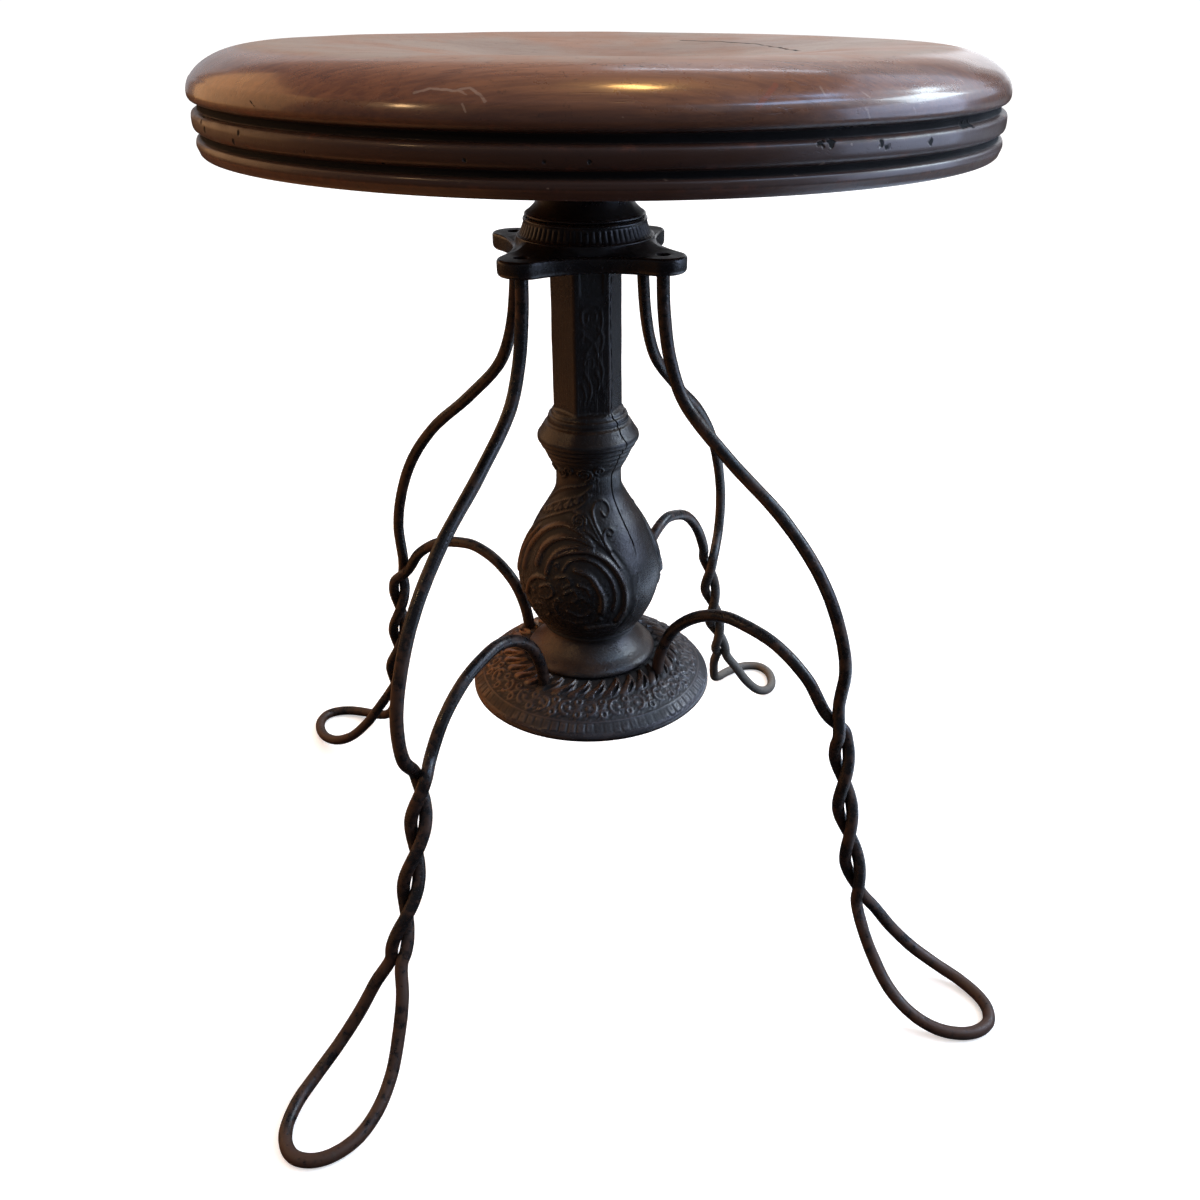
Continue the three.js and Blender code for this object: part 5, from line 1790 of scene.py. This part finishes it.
@dataclass
class Leg(Assembly):
    """One rod, from the cap down, twisted on itself, round the foot loop and into the flange."""

    rod: float = 6.35
    cap_foot: float = 365.8
    lobe_top: float = 373.8
    rod_recess: float = 1.5
    cap_reach: float = 46.0
    cap_turn: float = -4.0
    belly: float = 148.5
    top_reach: float = 144.3
    top_height: float = 150.3
    foot_reach: float = 169.0
    foot_height: float = 57.0
    turns: float = 1.5
    bow: float = 0.55
    twist: float = 3.475
    tip_reach: float = 242.6
    half_width: float = 19.8
    floor_height: float = 2.775
    flange_reach: float = 44.0
    crown: float = 150.0
    arch: float = 43.5
    ceiling: float = 141.5
    rod_end: float = 134.6
    sway_limit: float = 1.6
    end_ease: float = 0.5
    sides: int = 18
    step: float = 1.15
    outer: Table = (
        (0.915, 0.008), (0.81, 0.045), (0.72, 0.125), (0.61, 0.36), (0.5, 0.64), (0.39, 0.832),
        (0.28, 0.945), (0.17, 1), (0.07, 0.985),
    )
    loop: Table = (
        (0.088, 0.44, 0.77), (0.2, 0.64, 0.52), (0.36, 0.865, 0.265), (0.54, 0.985, 0.106),
        (0.72, 0.955, 0.03), (0.88, 0.71, 0.004), (0.966, 0.39, 0),
    )
    inner: Table = (
        (0.92, 0.14), (0.81, 0.52), (0.64, 0.837), (0.464, 0.977), (0.365, 1), (0.227, 0.9),
        (0.099, 0.65), (0.03, 0.35), (0, 0.05),
    )

    def strand(self, bend: Bend, phase: float) -> Grid:
        """One strand of the twist: a helix about an axis that bows out to the foot.

        Args:
            bend: How this leg was bent.
            phase: Direction of the strand's start about that axis, in radians.

        Returns:
            Rows of places, from the top down.
        """
        share = np.linspace(0.0, 1.0, 19)
        top, top_height = self.top_reach * bend.top, self.top_height * bend.top_height
        foot, foot_height = self.foot_reach * bend.foot, self.foot_height * bend.foot_height
        fall = top_height - foot_height
        slope = (foot - top) * (1 - self.bow + 2 * self.bow * share)
        length = np.hypot(slope, fall)
        angle = phase - share * self.turns * TAU
        out = self.twist * np.cos(angle)
        bowed = share * (1 - self.bow * (1 - share))
        return np.stack([
            between(top, foot, bowed) + out * fall / length,
            self.twist * np.sin(angle),
            between(top_height, foot_height, share) + out * slope / length,
        ], axis=1)

    def path(self, bend: Bend) -> Grid:
        """Middle line of a leg's rod, with the leg standing out along +X before it sways.

        The sway turns each place about the stool's axis by a share that grows with its reach.

        Args:
            bend: How this leg was bent.

        Returns:
            Rows of places.
        """
        turn = math.radians(self.cap_turn)
        reach, side = self.cap_reach * math.cos(turn), self.cap_reach * math.sin(turn)
        head = [(reach, side, self.lobe_top - self.rod_recess), (reach, side, self.cap_foot)]
        outer, loop, inner = np.array(self.outer), np.array(self.loop), np.array(self.inner)
        fall = np.stack([
            between(reach, self.belly * bend.belly, outer[:, 1]),
            side * np.maximum(0.0, 1 - outer[:, 1]),
            between(self.top_height * bend.top_height, self.cap_foot, outer[:, 0]),
        ], axis=1)
        tip = self.tip_reach * bend.tip
        out = np.stack([
            between(self.foot_reach * bend.foot, tip, loop[:, 0]),
            self.half_width * loop[:, 1],
            between(self.floor_height, self.foot_height * bend.foot_height, loop[:, 2]),
        ], axis=1)
        back = out[::-1] * np.array([1, -1, 1])
        over = np.stack([
            between(self.flange_reach, self.top_reach * bend.top, inner[:, 0]),
            np.zeros(len(inner)),
            self.crown + self.arch * bend.arch * inner[:, 1],
        ], axis=1)
        end = [(self.flange_reach, 0.0, self.ceiling), (self.flange_reach, 0.0, self.rod_end)]
        up, down = self.strand(bend, math.pi / 2)[::-1], self.strand(bend, -math.pi / 2)
        corners = np.vstack([head, fall, down, out, [(tip, 0.0, self.floor_height)], back, up, over, end])
        x, y, z = corners.T
        grown = np.clip((x - self.cap_reach) / (self.foot_reach - self.cap_reach), 0.0, self.sway_limit)
        sway = math.radians(bend.sway) * grown
        cos, sin = np.cos(sway), np.sin(sway)
        swayed = np.stack([x * cos - y * sin, x * sin + y * cos, z], axis=1)
        return evenly(catmull_rom(swayed, SPAN_STEPS), self.step)

    def build(self) -> None:
        """Makes the four legs."""
        for seed, side in enumerate(Side):
            path = self.path(BENDS[side])
            low = smooth(75.0, 30.0, path[:, 2])
            reference = between(np.array([0.0, 1.0, 0.0]), np.array([0.0, 0.0, 1.0]), low[:, None])
            radius = np.full(len(path), self.rod / 2)
            radius[[0, -1]] -= self.end_ease
            shell = tube(path, radius, self.sides, reference)
            bumps = 0.05 * ripple(shell.points, 9.0, 40 + seed) + 0.03 * ripple(shell.points, 3.5, 50 + seed)
            away = shell.points - np.vstack([np.repeat(path, self.sides, axis=0), path[[0, -1]]])
            reach = np.linalg.norm(away, axis=1, keepdims=True)
            bumps = np.minimum(bumps, 0.02 + 0.06 * (shell.points[:, 0] < 230.0))
            shell.points = shell.points + away / np.maximum(reach, 0.1) * bumps[:, None]
            shell.points[:, 2] = np.maximum(shell.points[:, 2], 0.0)
            self.put_in(shell.turned_by(side.value), f"leg_{side.word}", Body.FRAME, Slot.ROD, 70.0)


@dataclass
class SpindleGroup(Assembly):
    """Screw spindle, its bush and pin, the wear washer and the seat plate with its screws."""

    spindle_radius: float = 9.525
    spindle_foot: float = 254.1
    spindle_top: float = 416.1
    pitch: float = 6.35
    thread: float = 1.5
    bush_radius: float = 12.0
    bush_flange: float = 16.0
    bush_foot: float = 347.8
    bush_top: float = 383.8
    hub_foot: float = 386.8
    hub_height: float = 29.8
    socket: float = 9.825
    washer_radius: float = 26.2
    pin_length: float = 42.4
    arm_thickness: float = 3.8
    arm_reach: float = 74.0
    arm_end: float = 11.0
    arm_waist: float = 26.0
    screw_length: float = 16.0
    screw_shank: float = 2.2
    screw_pitch: float = 1.6

    def threaded(self, azimuth: Grid, height: Grid) -> Grid:
        """Depth of a right-hand thread: flat crest and root with sloping flanks, 0 to 1."""
        turn = (height / self.pitch - azimuth / TAU) % 1.0
        return window(0.18, 0.34, 0.68, 0.84, turn)

    def spindle(self) -> None:
        """Makes the threaded spindle."""
        azimuth = circle(96)
        foot, top = self.spindle_foot, self.spindle_top
        heights = np.concatenate([[foot, foot], np.arange(foot + 1.6, top - 0.2, 0.5), [top, top]])
        base = np.full(len(heights), self.spindle_radius)
        base[[0, -1]] = 2.0
        base[1] -= 1.5
        height = heights[:, None]
        cut = self.threaded(azimuth, height) * smooth(410.0, 403.0, height)
        cut[[0, -1]] = 0.0
        radius = base[:, None] - self.thread * cut * (base > 5)[:, None]
        grid = around(np.maximum(radius, 1.5), azimuth, height)
        shell = Shell.woven(grid, values={"hollow": cut, "edge": 1 - cut})
        self.put_in(shell, "spindle", Body.SEAT, Slot.BRIGHT_STEEL)

    def bush(self) -> None:
        """Makes the bush, threaded inside."""
        bore = self.spindle_radius + 0.45
        azimuth = circle(72)
        inside = np.linspace(self.bush_top - 0.8, self.bush_foot + 0.8, 70)
        wide, lip, foot, top = self.bush_radius, self.bush_flange, self.bush_foot, self.bush_top
        outer = profile(*cornered(
            (bore + 0.7, foot, 2.0), (wide - 0.5, foot, 0.7), (wide, foot + 0.5, 5.0), (wide, top - 3, 4.0),
            (lip, top - 3, 2.6), (lip, top - 0.4, 0.6), (lip - 0.4, top, 2.0), (bore + 0.7, top, 0.0),
        ))
        heights = np.concatenate([outer[:, 1], inside])
        base = np.concatenate([outer[:, 0], np.full(len(inside), bore)])
        height = heights[:, None]
        cut = self.threaded(azimuth, height) * (np.arange(len(heights)) >= len(outer))[:, None]
        grid = around(base[:, None] + 0.9 * cut, azimuth, height)
        shell = Shell.woven(grid, ring=True, values={"hollow": cut})
        self.put_in(shell, "spindle_nut", Body.FRAME, Slot.BRIGHT_STEEL)

    def washer(self) -> None:
        """Makes the wear washer, its edges eased."""
        foot, top = self.bush_top + 0.3, self.bush_top + 2.7
        inner, outer = self.spindle_radius + 0.9, self.washer_radius
        rows = profile(
            *cornered(
                (inner + 0.4, foot, 3.0), (outer - 0.4, foot, 0.6), (outer, foot + 0.4, 1.6),
                (outer, top - 0.4, 0.6), (outer - 0.4, top, 3.0), (inner + 0.4, top, 0.0),
            ),
            (((inner + 0.4, top), (inner, top - 0.4), (inner, foot + 0.4)), 0.8),
        )
        self.put_in(lathe(rows, 96, ring=True), "wear_washer", Body.WASHER, Slot.BRIGHT_STEEL)

    def pin(self) -> None:
        """Makes the cross pin, its ends domed."""
        half = self.pin_length / 2
        end = np.array([half, half - 0.25, half - 0.7])
        y = np.concatenate([-end, np.linspace(-half + 2, half - 2, 12), end[::-1]])
        path = np.column_stack([np.zeros(len(y)), y, np.full(len(y), self.hub_foot + 18.0)])
        radius = np.full(len(y), 3.0)
        radius[[0, -1]], radius[[1, -2]] = 1.4, 2.5
        reference = np.repeat([[0.0, 0.0, 1.0]], len(y), axis=0)
        self.put_in(tube(path, radius, 24, reference), "spindle_pin", Body.SEAT, Slot.BRIGHT_STEEL)

    def plate(self) -> None:
        """Makes the seat plate: socket, bell-shaped hub and four arms."""
        foot = self.hub_foot
        arm_foot = foot + self.hub_height
        top = arm_foot + self.arm_thickness
        skirt = foot + 1.6
        rise = arm_foot - skirt
        shares = (
            (26.6, 0.05), (23.9, 0.15), (22.3, 0.27), (21.5, 0.45), (21.9, 0.7), (24.0, 0.9), (29.0, 0.985)
        )
        bell = [(wide, skirt + share * rise) for wide, share in shares]
        hub = profile(
            *cornered(
                (2.0, top - 4, 3.0), (self.socket, top - 4, 4.0), (self.socket, foot, 3.0), (26.0, foot, 0.4),
                (26.0, foot + 0.4, 1.2), (28.5, foot + 0.4, 0.0),
            ),
            (((28.5, foot + 0.4), (28.8, foot + 0.7), (28.8, foot + 1.3), (28.4, foot + 1.7)), 0.4),
            (((28.4, foot + 1.7), *bell, (34.0, arm_foot)), 0.9),
        )
        azimuth = circle(240)
        outline = lobed(azimuth, self.arm_reach, self.arm_end, self.arm_waist, 0.0)
        outline = np.maximum(outline, 34.6)
        shares = np.linspace(0.0, 1.0, 12)[1:, None]
        under = between(34.0, outline - 0.8, shares)
        edge = np.vstack([outline - 0.25, outline, outline, outline - 0.25, outline - 0.8])
        over = between(outline - 0.8, 2.0, np.linspace(0.0, 1.0, 10)[1:, None])
        radius = np.vstack([wide_grid(hub[:, 0], 240), under, edge, over])
        levels = np.concatenate([
            hub[:, 1], np.full(len(under), arm_foot),
            [arm_foot + 0.25, arm_foot + 0.8, top - 0.8, top - 0.25, top], np.full(len(over), top),
        ])
        height = levels[:, None]
        grid = around(radius, azimuth, height)
        skirt_edge = peak(height, foot + 1.2, 0.7) * (radius > 27.5)
        # The hub's low waist is darkened through the hollow value: painted shade under the seat.
        low = smooth(foot + 9.0, foot + 2.5, height) * (radius > 20) * (radius < 28.0)
        values = {"hollow": low * 0.4, "edge": skirt_edge}
        self.put_in(Shell.woven(grid, values=values), "seat_plate", Body.SEAT, Slot.CASTING)

    def screws(self) -> None:
        """Makes the four slotted countersunk screws that hold the plate to the seat."""
        arm_foot = self.hub_foot + self.hub_height
        tip, wide = arm_foot + self.arm_thickness + self.screw_length, self.screw_shank
        shank = np.arange(arm_foot + 6.0, tip - 3.0, 0.35)
        rows = np.vstack([
            np.column_stack([np.linspace(0.4, 4.3, 14), np.full(14, arm_foot)]),
            [(4.4, arm_foot + 0.15), (wide, arm_foot + 2.4), (wide, arm_foot + 5.6)],
            np.column_stack([np.full(len(shank), wide), shank]),
            [(1.5, tip - 1.8), (0.5, tip)],
        ])
        azimuth = circle(48)
        radius, height = rows[:, :1], rows[:, 1:]
        cut = saw(height / self.screw_pitch - azimuth / TAU)
        thread = 0.55 * (2 * np.abs(cut)) * ((height > arm_foot + 6) & (height < tip - 2.4))
        grid = around(radius - thread, azimuth, height)
        slot = smooth(0.75, 0.5, np.abs(grid[..., 1])) * (np.arange(len(rows)) < 14)[:, None]
        grid[..., 2] += slot
        for k, place in enumerate(quarters(self.arm_reach)):
            shell = Shell.woven(grid, values={"hollow": slot}).turned_by(24.0 + 37.0 * k)
            shell = shell.moved_by((*place, 0.0))
            self.put_in(shell, f"seat_plate_screw_{k + 1}", Body.SEAT, Slot.BRIGHT_STEEL)

    def build(self) -> None:
        """Makes every piece of the group."""
        self.spindle()
        self.bush()
        self.washer()
        self.pin()
        self.plate()
        self.screws()


@dataclass
class Fasteners(Assembly):
    """Leg nuts, tie screw and its washer, under the flange."""

    reach: float = 44.0
    nut_radius: float = 6.35
    nut_top: float = 141.2
    nut_height: float = 5.4
    bore: float = 3.475
    head_radius: float = 7.5
    head_top: float = 138.9
    head_height: float = 5.0
    shank: float = 4.0
    tip: float = 214.3
    washer_top: float = 141.2
    washer_radius: float = 12.0
    washer_bore: float = 4.3
    pitch: float = 2.4

    def nut(self) -> Shell:
        """A hexagonal nut with its corners rounded off above and below.

        Returns:
            The nut, on the stool's axis.
        """
        azimuth = circle(72)
        outline = hexagonal(azimuth, self.nut_radius)
        inner = self.nut_radius * math.cos(math.pi / 6) - 0.2
        eased = np.minimum(outline, self.nut_radius - 0.55)
        foot, top = self.nut_top - self.nut_height, self.nut_top
        ones = np.ones_like(outline)
        lower = [ones * self.bore, ones * inner, eased, outline]
        levels = np.array([foot, foot, foot + 0.15, foot + 0.6, top - 0.6, top - 0.15, top, top])
        return Shell.woven(around(np.vstack(lower + lower[::-1]), azimuth, levels[:, None]), ring=True)

    def tie_screw(self) -> None:
        """Makes the hexagonal screw that ties the flange to the column."""
        azimuth = circle(72)
        outline = hexagonal(azimuth, self.head_radius)
        inner = self.head_radius * math.cos(math.pi / 6) - 0.3
        eased = np.minimum(outline, self.head_radius - 0.6)
        top, tip, ones = self.head_top, self.tip, np.ones_like(outline)
        foot, thread = top - self.head_height, top + 12
        shank = np.concatenate([[top], np.arange(thread, tip - 5, 0.5), [tip - 2.5, tip]])
        height = np.concatenate([[foot, foot, foot + 0.2, foot + 0.7, top], shank])[:, None]
        bare = np.full((len(shank) - 2, 1), self.shank)
        radius = np.vstack([ones, ones * inner, eased, outline, outline, bare * ones, ones * 2.4, ones * 0.8])
        cut = 2 * np.abs(saw(height / self.pitch - azimuth / TAU)) * (height > thread) * (height < tip - 4)
        shell = Shell.woven(around(radius - 0.8 * cut, azimuth, height), values={"hollow": cut})
        self.put_in(shell, "tie_screw", Body.FRAME, Slot.BRIGHT_STEEL)

    def build(self) -> None:
        """Makes the nuts, the tie screw and its washer."""
        for side in Side:
            shell = self.nut().moved_by((self.reach, 0.0, 0.0)).turned_by(side.value)
            self.put_in(shell, f"leg_nut_{side.word}", Body.FRAME, Slot.ROD)
        self.tie_screw()
        top, low = self.washer_top, self.washer_top - 2.0
        wide, bore = self.washer_radius, self.washer_bore
        rows = profile(
            (((bore + 0.3, low), (wide - 0.3, low)), 3.0),
            (((wide - 0.3, low), (wide, low + 0.3), (wide, top - 0.3), (wide - 0.3, top)), 0.6),
            (((wide - 0.3, top), (bore + 0.3, top)), 3.0),
            (((bore + 0.3, top), (bore, top - 0.3), (bore, low + 0.3)), 0.6),
        )
        self.put_in(lathe(rows, 72, ring=True), "tie_washer", Body.FRAME, Slot.BRIGHT_STEEL)


@dataclass
class Studio:
    """Floor, daylight and camera."""

    camera_place: Place = (0.32425, -0.45581, 0.48159)
    lens: float = 34.57
    shift: tuple[float, float] = (-0.0307, -0.0551)
    yaw: float = 0.0198
    pitch: float = 0.4381
    roll: float = 0.005
    row_turn: float = 33.97
    aim: float = 0.35
    cool_side: float = 40.0
    warm_bounce: Colour = (0.34, 0.165, 0.07)
    dark_bounce: Colour = (0.012, 0.010, 0.010)
    cool_bounce: Colour = (0.70, 0.84, 1.0)

    def camera(self) -> None:
        """Puts the camera at the photograph's angle: yaw, pitch and roll, then the row's turn."""
        yaw, pitch, roll = self.yaw, self.pitch, self.roll
        ahead = Vector((math.sin(yaw) * math.cos(pitch), math.cos(yaw) * math.cos(pitch), -math.sin(pitch)))
        level = Vector((math.cos(yaw), -math.sin(yaw), 0.0))
        above = level.cross(ahead)
        right = level * math.cos(roll) + above * math.sin(roll)
        up = above * math.cos(roll) - level * math.sin(roll)
        axes = Matrix((right, up, -ahead)).transposed()
        turn = Matrix.Rotation(math.radians(self.row_turn), 3, "Z")
        data = bpy.data.cameras.new("photo_camera")
        data.lens, data.sensor_width = self.lens, 36.0
        data.shift_x, data.shift_y = self.shift
        data.clip_start, data.clip_end = 0.02, 60.0
        camera = bpy.data.objects.new("photo_camera", data)
        camera.matrix_world = Matrix.Translation(self.camera_place) @ (turn @ axes).to_4x4()
        bpy.context.scene.collection.objects.link(camera)
        bpy.context.scene.camera = camera

    def floor(self) -> None:
        """Makes the wide floor, pale and faintly mottled to the camera. Other rays see painted bounce
        light instead: warm towards one side and cool towards the other in rings round the stool, and dark
        under it, towards the front and back, and between the rings.
        """
        radius = np.array([100.0, 400.0, 1200.0, 4000.0, 14000.0])[:, None]
        under, over = (around(radius, circle(96), level) for level in (-20.3, -0.3))
        piece = Shell.woven(np.concatenate([under, over[::-1]])).object("studio_floor")
        s = Surface("pale_floor")
        w = s.w
        pale = w.blend(w.noise(s.place, 3.0, 3.0), (0.84, 0.84, 0.84), (0.88, 0.88, 0.88))
        seen = w.put("LightPath").outputs["Is Camera Ray"]
        aside = w.turned(s.place, Rotation=(0, 0, -math.radians(self.cool_side)))
        heading = w.vector("NORMALIZE", {0: aside})
        across = w.axes(heading)["X"]
        reach = w.vector("LENGTH", {0: s.place}, "Value")
        ring = w.times(w.ramp(reach, 0.20, 0.36), w.ramp(reach, 0.62, 0.85, 1.0, 0.12))
        ring = w.plus(ring, w.ramp(reach, 1.7, 2.6, 0.0, 0.5))
        bounce = w.blend(w.times(ring, w.ramp(across, -0.3, -0.8)), self.dark_bounce, self.warm_bounce)
        bounce = w.blend(w.times(ring, w.ramp(across, 0.58, 0.93)), bounce, self.cool_bounce)
        tone = w.blend(seen, bounce, pale)
        glow = w.blend(seen, (0.0, 0.0, 0.0), (0.5, 0.5, 0.5))
        rough = w.ramp(w.noise(s.place, 30.0), 0.3, 0.7, 0.75, 0.9)
        varied = {"Base Color": tone, "Roughness": rough, "Emission Color": glow}
        piece.data.materials.append(s.finish({"Emission Strength": 1.0}, varied))

    def light(
        self,
        name: str,
        toward: tuple[float, float],
        distance: float,
        size: tuple[float, float],
        power: float,
        colour: Colour,
        glossy: bool = True,
    ) -> None:
        """Hangs one soft light that looks at the stool.

        Args:
            name: The light's name.
            toward: Azimuth and height of its direction from the seat, in degrees.
            distance: Metres from the seat.
            size: Width and height in metres.
            power: Watts.
            colour: Its colour.
            glossy: Whether it shows in reflections.
        """
        azimuth, rise = (math.radians(value) for value in toward)
        way = Vector((math.cos(azimuth) * math.cos(rise), math.sin(azimuth) * math.cos(rise), math.sin(rise)))
        data = bpy.data.lights.new(name, "AREA")
        data.shape, data.size, data.size_y = "RECTANGLE", *size
        data.energy, data.color = power, colour
        lamp = bpy.data.objects.new(name, data)
        lamp.visible_camera = False
        lamp.visible_glossy = glossy
        turned = way.to_track_quat("Z", "Y").to_matrix().to_4x4()
        lamp.matrix_world = Matrix.Translation(Vector((0, 0, self.aim)) + way * distance) @ turned
        bpy.context.scene.collection.objects.link(lamp)

    def daylight(self) -> None:
        """Sets the pale surroundings and the lights."""
        world = bpy.data.worlds.new("studio")
        bpy.context.scene.world = world
        world.use_nodes = True
        world.node_tree.nodes.clear()
        w = Wiring(world.node_tree)
        seen = w.put("LightPath").outputs["Is Camera Ray"]
        near = w.put("Background", {"Color": (0.84, 0.87, 1.0, 1.0), "Strength": 0.11}).outputs[0]
        far = w.put("Background", {"Color": (1.0, 1.0, 1.0, 1.0), "Strength": 1.05}).outputs[0]
        w.put("OutputWorld", {"Surface": w.put("MixShader", {0: seen, 1: near, 2: far}).outputs[0]})
        sky = bpy.data.lights.new("sky", "SUN")
        sky.energy, sky.angle, sky.color = 2.4, math.radians(90.0), (1.0, 0.97, 0.94)
        high = bpy.data.objects.new("sky", sky)
        high.matrix_world = Vector((0.25, 0.40, 1.0)).to_track_quat("Z", "Y").to_matrix().to_4x4()
        high.visible_glossy = False
        bpy.context.scene.collection.objects.link(high)
        self.light("window", (45.0, 30.0), 1.9, (0.85, 0.55), 14.0, (0.76, 0.91, 1.0))
        self.light("high_wall", (97.0, 39.0), 2.0, (1.5, 0.75), 1.3, (0.52, 0.80, 1.0))
        self.light("side_wall", (355.0, 44.0), 2.0, (1.4, 0.9), 1.8, (0.62, 0.82, 1.0))
        self.light("side_window", (12.0, 50.0), 2.0, (0.95, 0.34), 6.0, (0.36, 0.60, 1.0))
        self.light("back_wall", (125.0, 12.0), 3.0, (4.0, 1.5), 6.0, (0.95, 0.96, 1.0))
        self.light("window_wall", (46.0, 31.0), 2.0, (2.3, 1.6), 12.5, (0.66, 0.77, 1.0))
        self.light("back_window", (106.0, 8.0), 3.0, (1.2, 0.9), 3.0, (0.90, 0.94, 1.0))
        self.light("low_window", (25.0, 10.0), 0.95, (0.75, 0.5), 3.4, (0.55, 0.68, 1.0))
        self.light("warm_wall", (198.0, 8.0), 1.7, (1.5, 1.2), 18.0, (1.0, 0.48, 0.18), glossy=False)
        self.light("warm_glow", (194.0, 19.0), 1.7, (1.6, 1.2), 5.6, (1.0, 0.52, 0.20))
        self.light("warm_side", (250.0, 34.0), 1.9, (0.13, 0.16), 2.6, (1.0, 0.62, 0.3))
        self.light("warm_lamp", (72.0, 84.0), 1.5, (0.21, 0.10), 3.6, (1.0, 0.56, 0.18))
        self.light("back_line", (108.0, 46.0), 2.2, (0.8, 0.05), 0.9, (0.72, 0.84, 1.0))
        bpy.context.scene.view_settings.view_transform = "Standard"

    def build(self) -> None:
        """Sets the stage."""
        self.camera()
        self.floor()
        self.daylight()
        log.info("camera, floor and lights are set")


def main() -> None:
    """Builds the stool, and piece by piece."""
    logging.basicConfig(level=logging.INFO, format="%(message)s")
    Studio().build()
    palette = Palette()
    for part in (Seat, Column, BaseFlange, Cap, Leg, SpindleGroup, Fasteners):
        part(palette).build()
        log.info("%s is dressed", part.__name__)


if __name__ == "__main__":
    main()
